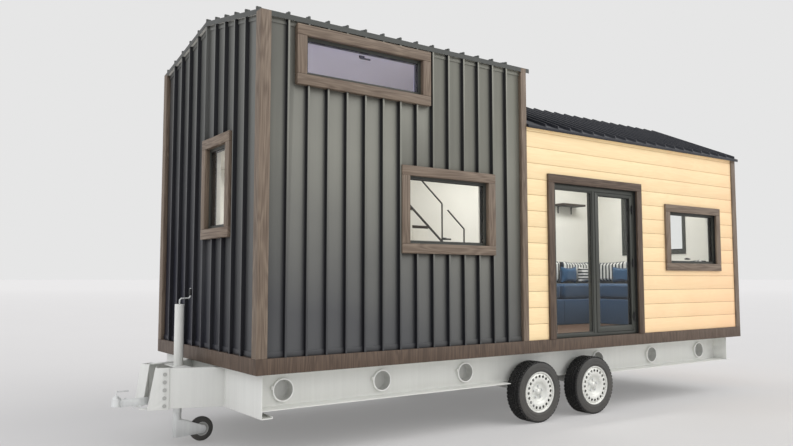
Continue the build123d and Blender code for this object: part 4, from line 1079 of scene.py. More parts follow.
# Sheet, trim, windows and door


def rib_tops(mesh):
    """Height of a roof's rib tops by distance from the ridge, as a function."""
    edge = max(vert.co.y for vert in mesh.verts)
    ridge = max(vert.co.z for vert in mesh.verts if abs(vert.co.y) < 0.02)
    eave = max(vert.co.z for vert in mesh.verts if vert.co.y > edge - NEAR)
    return lambda across: ridge - (ridge - eave) * abs(across) / edge


def skin_heights(node):
    """Height of the top of a roof's skin by distance from the ridge, as a function."""
    tops = rib_tops(merged(node))
    return lambda across: tops(across) - RIB


def low_ribs(mesh):
    """Lowers a roof's ribs: a little in their first stretch at the eaves, and more from there to the ridge."""
    nub, drop, nub_drop = 0.045, 0.024, 0.012
    top = rib_tops(mesh)
    edge = max(vert.co.y for vert in mesh.verts)
    for way in (1, -1):
        for place in (edge - nub, edge - nub - 0.02):
            cut_at(mesh, (0, way * place, 0), (0, way, 0))
    for vert in mesh.verts:
        if vert.co.z > top(vert.co.y) - 0.006:
            vert.co.z -= drop if abs(vert.co.y) < edge - nub - 0.019 else nub_drop


def edge_strips():
    """The folded strip round the edge of the tall roof, a little proud of it."""
    mesh = bmesh.new()
    low, high = node_box("tall_roof")
    skin_top = skin_heights("tall_roof")
    proud, over, lap = 0.0016, 0.0015, 0.046
    for side in (-1, 1):
        near, far = sorted((side * high.y, side * (high.y + proud)))
        top = skin_top(high.y) + over
        slab(mesh, (low.x, near, top - lap), (high.x, far, top))
        corners = ((0, lap), (side * high.y, lap), (side * high.y, 0), (0, 0))
        six_sided(mesh, *[[(x, across, skin_top(across) + over - under) for across, under in corners]
                          for x in (low.x - proud, low.x)])
    return mesh


def rib_ends():
    """Places where the wall's ribs fold over the roof's edge, on both long sides and on the end."""
    low, high = node_box("tall_roof")
    top = rib_tops(merged("tall_roof"))
    cladding = merged("side_cladding")
    ribs = sorted({round(v.co.x, 4) for v in cladding.verts if v.co.y < -1.2475 and v.co.z > 3.6})
    cladding.free()
    middles = [(first + second) / 2 for first, second in zip(ribs, ribs[1:]) if 0.012 < second - first < 0.024]
    sides = [Vector((x, side * (high.y - 0.021), top(high.y) - 0.033)) for x in middles for side in (-1, 1)]
    ends = [Vector((low.x + 0.021, 0.23 * step, top(0.23 * step) - 0.027)) for step in range(-5, 6)]
    return sides, ends


def marked_fold_shade(mesh, along, out):
    """Marks painted shade in the folds beside a sheet's ribs, which run up it, with soft edges to the left and right.
    """
    depth, beyond, strength = 5e-4, 0.0065, 0.92
    front = max(abs(vert.co[out]) for vert in mesh.verts)
    tops = sorted({round(v.co[along], 4) for v in mesh.verts if abs(v.co[out]) > front - depth})
    ribs = [(a, b) for a, b in zip(tops, tops[1:]) if 0.008 < b - a < 0.024]
    reach_low, reach_high = (0.034, 0.014) if along == 0 else (0.014, 0.014)
    for low, high in ribs:
        for place in (low - reach_low, high + reach_high):
            across = Vector((0, 0, 0))
            across[along] = 1.0
            cut_at(mesh, across * place, across)
    layer = mesh.verts.layers.float.new("crease")
    for vert in mesh.verts:
        place = vert.co[along]
        beside = any(low - beyond < place < high + beyond for low, high in ribs)
        # Painted shade: the share of the dark fold colour at each place beside a rib.
        vert[layer] = strength if beside and abs(vert.co[out]) < front - depth else 0.0
    return mesh


def build_sheet():
    """The ribbed wall sheet and both roofs, with rounded folds and white undersides indoors."""
    metal = look("metal")
    for node, finish, along in (("side_cladding", "sheet", 0), ("end_cladding", "end_sheet", 1)):
        mesh = marked_fold_shade(softened(node, metal.fold), along, 1 - along)
        piece(node + "_folded", mesh, finish, stands_for=node, smooth=40)
    for node in ("tall_roof", "living_roof"):
        mesh = merged(node)
        if node == "tall_roof":
            low_ribs(mesh)
        eased(whole_faces(mesh), metal.fold)
        for face in mesh.faces:
            inside = face.normal.z < -0.3 and abs(face.calc_center_median().y) < 1.15
            face.material_index = 1 if inside else 0
        piece(node + "_folded", mesh, ["roof", "lining"], stands_for=node, smooth=40)
    sides, ends = rib_ends()
    folds = joined([tree_mesh("Blocks", "strips", {"Size": size}, point_mesh(places))
                    for places, size in ((sides, (0.0195, 0.045, 0.05)), (ends, (0.045, 0.0195, 0.04)))])
    piece("roof_edge_strips", joined([eased(edge_strips(), 0.0006, 1), eased(folds, 0.002)]), "strips",
          smooth=35)
    low, high = node_box("living_roof")
    pitch, end = 0.4, 0.1
    count = int((high.x - low.x - 2 * end) / pitch)
    screws = [(low.x + end + pitch * step, side * (high.y + 0.0005), low.z + 0.018)
              for side in (-1, 1) for step in range(count)]
    piece("eave_screws", fasteners(screws, UPRIGHT, 0.005, 0.004, 0.008, "roof"), "roof")


def ring_boards(mesh, box, width, sill=True):
    """Adds the boards of a surround: a head and a sill over the whole width, and two jambs between them."""
    joint = 0.0012
    low, high = box
    size = high - low
    along = 0 if size.x > size.y else 1

    def board(start, end, foot, top):
        near, far = low.copy(), high.copy()
        near[along], far[along], near.z, far.z = start, end, foot, top
        slab(mesh, near, far)

    foot = low.z + width + joint if sill else low.z
    board(low[along], high[along], high.z - width, high.z)
    if sill:
        board(low[along], high[along], low.z, low.z + width)
    board(low[along], low[along] + width, foot, high.z - width - joint)
    board(high[along] - width, high[along], foot, high.z - width - joint)


def surround_width():
    """Width of a surround's boards: from its outer edge to the window frame inside it."""
    around = min(solid_boxes("window_surrounds"), key=lambda box: box[0].z)
    inside = min(solid_boxes("window_frames"), key=lambda box: box[0].z)
    return inside[0].z - around[0].z


def build_trim():
    """Corner posts, skirt and surrounds of stained timber."""
    edge = look("timber").trim_edge
    posts, tall = merged("corner_posts"), 3.6
    eave = skin_heights("tall_roof")(node_box("tall_roof")[1].y)
    for vert in posts.verts:
        if vert.co.z > tall:
            vert.co.z = eave + 0.001
    piece("corner_posts_timber", eased(whole_faces(posts), edge), "stained",
          stands_for="corner_posts", smooth=35, grain="z")
    # The skirt takes the stain darkened as painted shade.
    piece("skirt_timber", softened("skirt", edge), "skirt", stands_for="skirt", smooth=35,
          grain="z")
    width = surround_width()
    mesh = bmesh.new()
    for box in solid_boxes("window_surrounds"):
        ring_boards(mesh, box, width)
    eased(mesh, edge)
    piece("window_surrounds_timber", mesh, "stained", stands_for="window_surrounds", smooth=35,
          grain="long")
    mesh = bmesh.new()
    ring_boards(mesh, node_box("door_surround"), width, sill=False)
    eased(mesh, edge)
    # The door surround takes the same darkened stain, painted shade.
    piece("door_surround_timber", mesh, "skirt", stands_for="door_surround", smooth=35,
          grain="long")


class Opening:
    """A window or door bay: its place along the wall, its heights, and depths inwards from a face."""

    def __init__(self, box, out):
        self.low, self.high = box
        self.out = Vector(out)
        self.along = 0 if abs(self.out.y) > 0.5 else 1
        faces = [corner[1 - self.along] for corner in box]
        self.face = max(faces) if sum(self.out) > 0 else min(faces)

    def place(self, along, depth, height):
        """A place in the frame."""
        spot = Vector((0, 0, height))
        spot[self.along] = along
        spot[1 - self.along] = self.face - self.out[1 - self.along] * depth
        return spot

    def outline(self, inset, depth):
        """The four corners of the bay, moved in from its edges: by one inset, or by one for each side."""
        left, under, right, over = inset if isinstance(inset, tuple) else (inset,) * 4
        first, last = self.low[self.along] + left, self.high[self.along] - right
        foot, head = self.low.z + under, self.high.z - over
        return [self.place(first, depth, foot), self.place(last, depth, foot), self.place(last, depth, head),
                self.place(first, depth, head)]

    def pane(self, mesh, inset, front, back):
        """Adds a sheet of glass between two depths."""
        return six_sided(mesh, self.outline(inset, front), self.outline(inset, back))

    def ring(self, mesh, outer, inner, front, back):
        """Adds a mitred ring between two insets and two depths."""
        faces = [(self.outline(outer, depth), self.outline(inner, depth)) for depth in (front, back)]
        for step in range(4):
            after = (step + 1) % 4
            near, far = [(wide[step], wide[after], tight[after], tight[step]) for wide, tight in faces]
            six_sided(mesh, near, far)


def lever(opening, depth, along, height, upright=False):
    """A window lever on the room side: a base plate, a neck, and a grip that lies level or hangs down."""
    half = (0.012, 0.055) if upright else (0.03, 0.012)
    base = bmesh.new()
    near = opening.place(along - half[0], depth, height - half[1])
    far = opening.place(along + half[0], depth + 0.009, height + half[1])
    slab(base, [min(pair) for pair in zip(near, far)], [max(pair) for pair in zip(near, far)])
    eased(base, 0.003)
    reach_out = depth + 0.042
    end = (along, height - 0.11) if upright else (along + 0.115, height)
    path = [opening.place(along, depth + 0.004, height), opening.place(along, reach_out, height),
            opening.place(end[0], reach_out, end[1])]
    return joined([base, bar(path, 0.0085, 0.014, finish="black")])


def build_windows():
    """Frames with opening sashes, gaskets and levers, and their glass."""
    frames, gaskets, panes, levers = bmesh.new(), bmesh.new(), bmesh.new(), []
    depth = 0.07
    for box in solid_boxes("window_frames"):
        size = box[1] - box[0]
        ends = (1, 0, 0) if box[0].x > 0 else (-1, 0, 0)
        bay = Opening(box, (0, -1, 0) if size.x > size.y else ends)
        bay.ring(frames, 0.0, 0.0135, 0.0, depth)
        bay.ring(gaskets, 0.0125, 0.0165, 0.005, 0.06)
        bay.ring(frames, 0.0155, 0.0285, 0.002, 0.016)
        bay.ring(gaskets, 0.0155, 0.0285, 0.016, depth - 0.001)
        bay.ring(gaskets, 0.028, 0.0315, 0.0065, 0.0095)
        faces = bay.pane(panes, 0.0283, 0.010, 0.020)
        for face in faces:
            face.material_index = 1 if bay.low.z > 3 else 0
        middle = (bay.low[bay.along] + bay.high[bay.along]) / 2
        if bay.out.x < -0.5:
            levers.append(lever(bay, depth, bay.low[bay.along] + 0.03, bay.low.z + 0.3, True))
        else:
            levers.append(lever(bay, depth, middle, bay.high.z - 0.05 if bay.low.z > 3 else bay.low.z + 0.062))
        if bay.out.x > 0.5:
            inner = bay.face - node_box("rear_end_wall")[0].x
            bay.ring(frames, -0.045, 0.004, inner, inner + 0.012)
            bay.ring(frames, 0.0, 0.004, depth, inner)
    piece("window_frames_coated", eased(frames, 0.0016), "frames", stands_for="window_frames",
          smooth=35)
    piece("window_gaskets", eased(gaskets, 0.0007, 1), "gasket", smooth=35)
    piece("window_levers", joined(levers), "black", smooth=40)
    fixed_bay().pane(panes, -SLIM, 0.0, 0.01)
    piece("window_panes", panes, ["glass", "blue_glass"], stands_for="window_glass")


def fixed_bay():
    """The fixed pane beside the door leaf."""
    panes = [box for box in solid_boxes("window_glass") if box[0].y < -1]
    return Opening(max(panes, key=lambda box: box[1].z - box[0].z), (0, -1, 0))


def stiles(more=0.0):
    """Widths of the door leaf's left stile, bottom rail, right stile and top rail, each with a little more."""
    return tuple(width + more for width in (0.056, 0.062, 0.034, 0.034))


def build_door():
    """Door frame, fixed sash and leaf, each with gaskets, and the hinges and the lever."""
    fixed = fixed_bay()
    mesh = merged("door_frame")
    for vert in mesh.verts:
        for axis in (0, 2):
            if abs(vert.co[axis] - fixed.low[axis]) < 1e-4:
                vert.co[axis] -= SLIM
            elif abs(vert.co[axis] - fixed.high[axis]) < 1e-4:
                vert.co[axis] += SLIM
    piece("door_frame_coated", eased(whole_faces(mesh), 0.0016), "frames", stands_for="door_frame",
          smooth=35)
    gaskets = bmesh.new()
    fixed.ring(gaskets, -SLIM - 0.0005, -SLIM + 0.0045, -0.0045, -0.0002)
    piece("fixed_gaskets", eased(gaskets, 0.0007, 1), "gasket", smooth=35)
    leaf = Opening(node_box("door_leaf"), (0, -1, 0))
    frames, gaskets, panes = bmesh.new(), bmesh.new(), bmesh.new()
    leaf.ring(frames, 0.0, stiles(), 0.0, 0.056)
    leaf.ring(gaskets, stiles(), stiles(0.005), 0.011, 0.0158)
    leaf.ring(gaskets, stiles(-0.004), stiles(0.004), 0.0262, 0.054)
    leaf.pane(panes, stiles(-0.001), 0.016, 0.026)
    piece("door_leaf_coated", eased(frames, 0.0016), "frames", "door", "door_leaf", 35)
    piece("leaf_gaskets", eased(gaskets, 0.0007, 1), "gasket", "door", smooth=35)
    piece("door_pane", panes, "glass", "door", "door_glass")
    for node in ("door_hinges_fixed", "door_hinges_moving"):
        piece(node + "_shown", merged(node), "black", body_of(node), node, 30)
    low, high = node_box("door_handle")
    plate = bmesh.new()
    slab(plate, (low.x - 0.004, low.y, low.z - 0.1), (low.x + 0.036, low.y + 0.006, high.z + 0.06))
    eased(plate, 0.002)
    piece("door_handle_shown", joined([softened("door_handle", 0.001), plate]), "black", "door",
          "door_handle", 40)


# Chassis, coupling and jockey wheel


def pads(node, direction, keep):
    """Centres of the separate flat patches that reach furthest in one direction, among the places to keep."""
    depth = 0.0005
    mesh = merged(node)
    direction = Vector(direction)
    chosen = [v for v in mesh.verts if keep(v.co)]
    furthest = max(v.co.dot(direction) for v in chosen)
    flat = [f for f in mesh.faces if all(keep(v.co) and v.co.dot(direction) > furthest - depth for v in f.verts)]
    corners = [reach(patch) for patch in connected(flat)]
    centres = [(low + high) / 2 for low, high in corners]
    mesh.free()
    return sorted(centres, key=lambda place: (round(place.z, 3), round(place.x, 3)))


def gusset_bolts():
    """Six-sided bolt heads over the plain heads on both gussets."""
    meshes = []
    turn = math.radians(20.7)
    for side in (-1, 1):
        out = Vector((-math.sin(turn), side * math.cos(turn), 0))
        places = [place + out * 0.0005 for place in pads("drawbar_gussets", out, lambda co: co.y * side > 0)]
        facing = out.to_track_quat("Z", "Y").to_euler()
        meshes.append(fasteners(places, tuple(facing), 0.0125, 0.017, 0.0165, "bolt"))
    return joined(meshes)


def rail_holes():
    """The middle of each flanged hole's rim in the side rails, with the side that it faces."""
    return [(place, side) for side in (-1, 1)
            for place in pads("side_rails", (0, side, 0), lambda co: 0.44 < co.z < 0.68 and abs(co.y) < 1.04)]


def hole_lugs():
    """A small lug with a screw beside each flanged hole of the side rails."""
    lugs = bmesh.new()
    heads = []
    for place, side in rail_holes():
        near = place + Vector((-0.103, -side * 0.006, 0.026))
        size = Vector((0.022, 0.012, 0.03))
        slab(lugs, near - size / 2, near + size / 2)
        heads.append(near + Vector((0, side * 0.007, 0)))
    eased(lugs, 0.002)
    return joined([lugs, fasteners(heads, UPRIGHT, 0.0055, 0.006, 0.0075)])


def hole_cups():
    """Pressed cups behind the flanged holes, each with a rolled lip round its rim; the lip takes a painted highlight
    and the inside of the cup painted shade.
    """
    outline = [(0.0, 0.086), (0.082, 0.086), (0.0845, 0.083), (0.0872, 0.03), (0.0872, -0.0005), (0.0895, -0.002),
               (0.0965, -0.002), (0.0985, -0.0005), (0.0985, 0.0035), (0.0966, 0.0035), (0.0960, 0.0005),
               (0.0885, 0.0005), (0.0885, 0.03), (0.086, 0.084), (0.083, 0.0875), (0.0, 0.0875)]
    cups = []
    for place, side in rail_holes():
        cup = bmesh.new()
        lathe(cup, [(radius, -side * depth) for radius, depth in outline], 48, closed=False)
        for face in cup.faces:
            spot = face.calc_center_median()
            # The lip gets the painted highlight, the inside of the cup the painted shade.
            face.material_index = 1 if math.hypot(spot.x, spot.z) < 0.0878 else 0
        cup.transform(Matrix.Translation(place))
        cups.append(cup)
    return joined(cups)


def weld_beads():
    """Weld beads where the drawbar arms meet the front crossmember and where the gussets meet the arms."""
    beads = []
    low, high = node_box("drawbar_arms")
    for side in (-1, 1):
        for offset in (0.004, 0.064):
            spot = Vector((high.x - 0.001, side * (0.413 + 0.03 - offset), 0))
            path = [spot + Vector((0, 0, low.z + 0.01)), spot + Vector((0, 0, high.z - 0.01))]
            beads.append(bar(path, 0.005, finish="chassis", sides=10))
    return joined(beads)


def clear_spindles(mesh):
    """Makes the axles' spindles a little slimmer than the bores of the rims that turn on them."""
    slack = 0.0006
    centres = []
    for place in ("front", "rear"):
        low, high = node_box(f"tyre_{place}_near")
        centres.append((low + high) / 2)
    for vert in mesh.verts:
        for centre in centres:
            away = Vector((vert.co.x - centre.x, 0, vert.co.z - centre.z))
            if away.length < 0.024 and abs(vert.co.y) > 1.03:
                vert.co -= away.normalized() * slack
    return mesh


def build_chassis():
    """The painted chassis with its bolts, lugs and welds, and the axles."""
    edge = look("metal").steel_edge
    for node in ("side_rails", "cross_members", "front_crossmember", "drawbar_arms", "drawbar_gussets"):
        piece(node + "_painted", softened(node, edge), "chassis", stands_for=node, smooth=32)
    # The axles take the chassis paint darkened as painted shade.
    piece("axles_painted", clear_spindles(softened("axles", edge)), "axle", stands_for="axles",
          smooth=32)
    for name, mesh, finishes, smooth in (
        ("gusset_bolts", gusset_bolts(), "bolt", 30), ("hole_lugs", hole_lugs(), "chassis", 30),
        ("hole_cups", hole_cups(), ["rim_lip", "cup"], 40), ("weld_beads", weld_beads(), "chassis", 60),
    ):
        piece(name, mesh, finishes, smooth=smooth)


def build_coupling():
    """The coupling head and its tube."""
    edge = look("metal").steel_edge
    for node in ("coupling_head", "coupling_tube"):
        piece(node + "_plated", softened(node, edge), "zinc", stands_for=node, smooth=40)
    low, high = node_box("coupling_tube")
    places = [(low.x + 0.05 + 0.045 * step, side * (high.y + 0.001), (low.z + high.z) / 2)
              for side in (-1, 1) for step in range(2)]
    piece("coupling_bolts", fasteners(places, UPRIGHT, 0.0095, 0.014, 0.0125), "zinc", smooth=30)


def build_jockey():
    """The jockey wheel: tube, sliding leg, fork, wheel and crank."""
    edge = look("metal").steel_edge
    for node, finish in (("jockey_tube", "chassis"), ("jockey_bracket", "chassis"), ("jockey_leg", "zinc"),
                         ("jockey_fork", "zinc"), ("jockey_tyre", "rubber"), ("jockey_hub", "hub"),
                         ("crank", "zinc"), ("crank_grip", "black")):
        mesh = merged(node) if node in ("jockey_leg", "jockey_hub") else softened(node, edge)
        piece(node + "_shown", mesh, finish, body_of(node), node, 36)
    low, high = node_box("jockey_tyre")
    centre = (low + high) / 2
    radius = (high.z - low.z) / 2
    ring = bmesh.new()
    outline = [(radius - 0.03, -0.0255), (radius - 0.03, 0.0255), (radius - 0.036, 0.0255), (radius - 0.036, -0.0255)]
    lathe(ring, outline, 64)
    eased(ring, 0.0012, 2, 50)
    ring.transform(Matrix.Translation(centre))
    piece("jockey_tyre_rings", ring, "rubber", body_of("jockey_tyre"), smooth=50)


# Road wheels


def tyre_outline(radius, half):
    """One side of a tyre's outline as (radius, distance from the middle), from the bead to the tread."""
    return [
        (0.2035, 0.0660), (0.2035, 0.0815), (0.2105, 0.0822), (0.2135, 0.0890), (0.2200, 0.0935),
        (0.2300, 0.0958), (0.2330, 0.0972), (0.2380, 0.0972), (0.2410, 0.0962), (0.2560, half - 0.0008),
        (0.2620, half - 0.0008), (0.2640, half), (0.2670, half), (0.2690, half - 0.0014),
        (0.2840, 0.0935), (0.2870, 0.0938), (0.2890, 0.0925), (0.2990, 0.0868), (radius - 0.0122, 0.0790),
        (radius - 0.0115, 0.0660), (radius - 0.0110, 0.0400),
    ]


def tyre_mesh(radius, half):
    """A tyre about the Y axis: a body with rings on its sidewalls, and five rows of tread blocks; the body between
    the blocks is painted shade.
    """
    side = tyre_outline(radius, half)
    inside = [(0.2075, 0.060), (0.235, 0.078), (0.275, 0.080), (0.292, 0.060)]
    outer = [(r, -d) for r, d in side] + [(r, d) for r, d in reversed(side)]
    inner = [(r, d) for r, d in inside] + [(r, -d) for r, d in reversed(inside)]
    body = bmesh.new()
    lathe(body, outer + inner, 96)
    around, high, groove = 50, 0.016, 0.0105
    rows = []
    for middle, wide, lean, down, turn in (
        (0.0, 0.0225, 0.0, 0.0, 0.0), (0.0315, 0.0225, 0.0, 0.0, 0.5), (-0.0315, 0.0225, 0.0, 0.0, 0.5),
        (0.0675, 0.033, -0.14, 0.0028, 0.0), (-0.0675, 0.033, 0.14, 0.0028, 0.0),
    ):
        row = tree_mesh("Tread blocks", "rubber", {
            "Radius": radius - high / 2 - 0.0006 - down, "Around": around, "Lean": lean,
            "Block": (high, wide, 2 * math.pi * radius / around - groove),
        })
        row.transform(Matrix.Translation((0, middle, 0)) @ Matrix.Rotation(turn * 2 * math.pi / around, 4, "Y"))
        rows.append(row)
    # Painted shade: the body under the tread blocks takes the near-black gasket finish, darker than the blocks.
    for face in body.faces:
        spot = face.calc_center_median()
        face.material_index = 1 if math.hypot(spot.x, spot.z) > radius - 0.02 else 0
    return joined([body, eased(joined(rows), 0.0012, 1)])


def wheel_nuts(way):
    """Five plated nuts about the Y axis, each on a thin dark disc that is painted shade in its recess."""
    ring = [Vector((0.062 * math.cos(turn), 0, 0.062 * math.sin(turn)))
            for turn in (math.radians(90 + 72 * step) for step in range(5))]
    # Painted shade: a thin dark disc under each nut.
    recesses = fasteners(ring, UPRIGHT, 0.0175, 0.002, 0.0168, "nut", 24)
    nuts = fasteners([place + Vector((0, way * 0.004, 0)) for place in ring], UPRIGHT, 0.0115, 0.02, 0.0125)
    for face in nuts.faces:
        face.material_index = 1
    return joined([recesses, nuts])


def wider_vents(mesh, middle):
    """Opens a pressed wheel's vents a little."""
    ring, count, small, large = 0.162, 20, 0.012, 0.0155
    centres = [(middle.x + ring * math.cos(turn), middle.z + ring * math.sin(turn))
               for turn in (2 * math.pi * step / count for step in range(count))]
    for vert in mesh.verts:
        for x, z in centres:
            away = math.hypot(vert.co.x - x, vert.co.z - z)
            if abs(away - small) < 0.0006:
                vert.co.x = x + (vert.co.x - x) * large / away
                vert.co.z = z + (vert.co.z - z) * large / away
                break
    return mesh


def build_wheels():
    """Four tyres with tread blocks on pressed rims with plated nuts on discs of painted shade, and a valve."""
    first = node_box("tyre_front_near")
    radius, half = (first[1].z - first[0].z) / 2, (first[1].y - first[0].y) / 2
    data = stored("tyre", tyre_mesh(radius, half))
    for place in ("front", "rear"):
        for side, way in (("near", -1), ("far", 1)):
            body = f"wheel_{place}_{side}"
            low, high = node_box(f"tyre_{place}_{side}")
            middle = (low + high) / 2
            tyre = bmesh.new()
            tyre.from_mesh(data)
            tyre.transform(Matrix.Translation(middle))
            piece(f"tyre_{place}_{side}_treaded", tyre, ["rubber", "gasket"], body,
                  f"tyre_{place}_{side}", 32)
            rim = wider_vents(merged(f"rim_{place}_{side}"), middle)
            piece(f"rim_{place}_{side}_painted", rim, "wheel", body, f"rim_{place}_{side}", 30)
            nuts = wheel_nuts(way)
            nuts.transform(Matrix.Translation((middle.x, middle.y + way * (half - 0.0395), middle.z)))
            piece(f"nuts_{place}_{side}", nuts, ["nut", "zinc"], body, smooth=30)
            spot = middle + Vector((0.186 * math.cos(4.0), way * (half - 0.022), 0.186 * math.sin(4.0)))
            inward = (middle - spot).normalized() * 0.01
            stem = bar([spot, spot + Vector((0, way * 0.012, 0)) + inward], 0.0035, finish="black", sides=12)
            piece(f"valve_{place}_{side}", stem, "black", body, smooth=50)


# Rooms


def floor_boards():
    """Floor boards along the house over the frame's floor, with their ends staggered."""
    low, high = node_box("floor")
    foot, head, last_edge = low.x + 0.05, high.x - 0.05, high.y - 0.1
    chance = random.Random("floor")
    mesh = bmesh.new()
    length, width, gap = 1.9, 0.142, 0.0015
    across = low.y + 0.1
    while across < last_edge:
        start = foot - chance.random() * 1.6
        while start < head:
            first, last = max(start, foot), min(start + length, head)
            if last - first > 0.02:
                slab(mesh, (first, across, high.z - FLOOR_BOARD),
                     (last - gap, min(across + width, last_edge) - gap, high.z))
            start += length
        across += width
    return eased(mesh, 0.0008, 1)


def build_rooms():
    """Linings, floor boards, loft, stair, rail and shelf, seen through the glass."""
    for node in ("tall_front_wall", "tall_back_wall", "hitch_end_wall", "step_wall"):
        piece(node + "_lined", softened(node, 0), "lining", stands_for=node)
    mesh = merged("floor")
    top = node_box("floor")[1].z
    for vert in mesh.verts:
        if vert.co.z > top - 1e-4:
            vert.co.z -= FLOOR_BOARD - 0.001
    piece("floor_core", mesh, "treads", stands_for="floor", grain="x")
    piece("floor_boards_laid", floor_boards(), "floor_boards", grain="x")
    piece("loft_floor_lined", softened("loft_floor", 0.003), "white_boards",
          stands_for="loft_floor", grain="x")
    piece("stair_panels", joined([softened("stair", 0.0015), stair_panels()]), "white_boards",
          stands_for="stair", grain="z", smooth=30)
    mesh = bmesh.new()
    for low, high in solid_boxes("stair_treads"):
        slab(mesh, low - Vector((0, 0, 0.012)), high)
    eased(mesh, 0.004, 3)
    piece("stair_treads_oiled", mesh, "treads", stands_for="stair_treads", grain="y", smooth=35)
    piece("stair_rail_painted", stair_rail(), "rail", stands_for="stair_rail", smooth=40)
    low, high = node_box("wall_shelf")
    mesh = bmesh.new()
    slab(mesh, low, high)
    piece("wall_shelf_oiled", eased(mesh, 0.003, 3), "treads", stands_for="wall_shelf",
          grain="x", smooth=35)
    brackets = bmesh.new()
    half, thick, back = 0.012, 0.006, high.y - 0.001
    for share in (0.2, 0.8):
        at = low.x + share * (high.x - low.x)
        slab(brackets, (at - half, high.y - 0.16, low.z - thick), (at + half, back, low.z - 0.0005))
        slab(brackets, (at - half, back - thick, low.z - 0.11), (at + half, back, low.z - thick))
    piece("shelf_brackets", eased(brackets, 0.0015), "black", smooth=35)


def stair_rail():
    """The handrail in two runs on its posts, and the dark string along the treads' ends."""
    low, high = node_box("stair_rail")
    radius = 0.010
    across = (low.y + high.y) / 2
    posts = slim_columns("stair_rail")
    tops = [Vector((x, across, top - radius)) for x, foot, top in posts]
    bars = [bar([Vector((x, across, foot)), end], radius, finish="rail") for (x, foot, top), end in zip(posts, tops)]
    slope = (tops[-1] - tops[0]).normalized()
    middle = tops[len(tops) // 2]
    for start, end in ((tops[0] - slope * 0.005, middle), (middle + slope * 0.12, tops[-1])):
        bars.append(bar([start, end, end - Vector((0, 0, 0.06))], radius, 0.02, finish="rail"))
    treads = solid_boxes("stair_treads")
    noses = sorted((Vector((box[1].x, across - 0.022, box[1].z)) for box in treads), key=lambda nose: nose.x)
    string = bmesh.new()
    drop, depth, thick = Vector((0, 0, 0.012)), Vector((0, 0, 0.034)), Vector((0, 0.014, 0))
    first, last = noses[0] + drop, noses[-1] + drop
    outline = [first, last, last - depth, first - depth]
    six_sided(string, outline, [corner + thick for corner in outline])
    return joined([*bars, eased(string, 0.002)])


def slim_columns(node):
    """Place along the house, foot and top of each upright bar of a piece, from its vertical edges."""
    mesh = merged(node)
    groups = {}
    for edge in mesh.edges:
        first, second = edge.verts[0].co, edge.verts[1].co
        if (first - second).xy.length < 1e-4 and abs(first.z - second.z) > 0.2:
            groups.setdefault(round(first.x / 0.06), []).append((first.x, *sorted((first.z, second.z))))
    mesh.free()
    return sorted((sum(x for x, _, _ in group) / len(group), min(foot for _, foot, _ in group),
                   max(top for _, _, top in group)) for group in groups.values())


def stair_panels():
    """Raised door panels on the room side of the stair: one under each step that is tall enough."""
    low = node_box("stair")[0]
    panels = bmesh.new()
    for first, last in solid_boxes("stair_treads"):
        top = first.z - 0.03
        if top - low.z > 0.3:
            slab(panels, (first.x + 0.008, low.y - 0.004, low.z + 0.09), (last.x - 0.008, low.y + 0.002, top))
    return eased(panels, 0.002)


# Soft furniture


def round_box(low, high, radius, puff):
    """A closed box with rounded edges and faces that bulge along each axis, the start of a cushion."""
    mesh = bmesh.new()
    size = high - low
    bmesh.ops.create_cube(mesh, size=1.0)
    for vert in mesh.verts:
        vert.co = Vector(low[axis] + (vert.co[axis] + 0.5) * size[axis] for axis in range(3))
    bmesh.ops.bevel(mesh, geom=mesh.edges[:], offset=radius, offset_type="OFFSET", segments=4, profile=0.5,
                    affect="EDGES", clamp_overlap=True)
    bmesh.ops.subdivide_edges(mesh, edges=[e for e in mesh.edges if e.calc_length() > 0.08], cuts=8,
                              use_grid_fill=True)
    middle = (low + high) / 2
    for vert in mesh.verts:
        share = [(vert.co[axis] - middle[axis]) / (size[axis] / 2) for axis in range(3)]
        for axis in range(3):
            others = [1 - min(1.0, abs(share[k])) ** 2.5 for k in range(3) if k != axis]
            vert.co[axis] += puff[axis] * share[axis] * others[0] * others[1]
    return mesh


CLOTH = {"quality": 5, "mass": 0.3, "use_pressure": True, "uniform_pressure_force": 4.0,
         "tension_stiffness": 12, "compression_stiffness": 10, "bending_stiffness": 0.4}
FRAMES = 20


def settle(mesh, voxel, swell, name):
    """Fills the cushion with air by cloth simulation, and caps how far its cloth may move."""
    scene = bpy.context.scene
    obj = linked(name + "_start", stored(name + "_start", mesh))
    remesh = obj.modifiers.new("Even", "REMESH")
    remesh.mode = "VOXEL"
    remesh.voxel_size = voxel
    obj.data = finished(obj)
    starts = [vert.co.copy() for vert in obj.data.vertices]
    soft = obj.modifiers.new("Cloth", "CLOTH")
    for key, value in CLOTH.items():
        setattr(soft.settings, key, value)
    soft.settings.effector_weights.gravity = 0
    soft.point_cache.frame_start, soft.point_cache.frame_end = 1, FRAMES
    for number in range(1, FRAMES + 1):
        scene.frame_set(number)
    obj.data = finished(obj)
    scene.frame_set(1)
    result = bmesh.new()
    result.from_mesh(obj.data)
    for vert, start in zip(result.verts, starts):
        move = vert.co - start
        if move.length > swell:
            vert.co = start + move * (swell / move.length)
    bpy.data.objects.remove(obj)
    for _ in range(2):
        bmesh.ops.smooth_vert(result, verts=result.verts, factor=0.5, use_axis_x=True, use_axis_y=True,
                              use_axis_z=True)
    return result


def held_in(mesh, low, high):
    """Keeps the cloth inside the space that the frame gives the cushion, flat where it meets something."""
    for vert in mesh.verts:
        for axis in range(3):
            vert.co[axis] = min(max(vert.co[axis], low[axis]), high[axis])


def seam_path(tree, corners):
    """Points of a seam between corners, laid on the cushion's own surface."""
    count = 10
    return [tree.find_nearest(first.lerp(second, step / count))[0]
            for first, second in zip(corners, corners[1:] + corners[:1]) for step in range(count)]


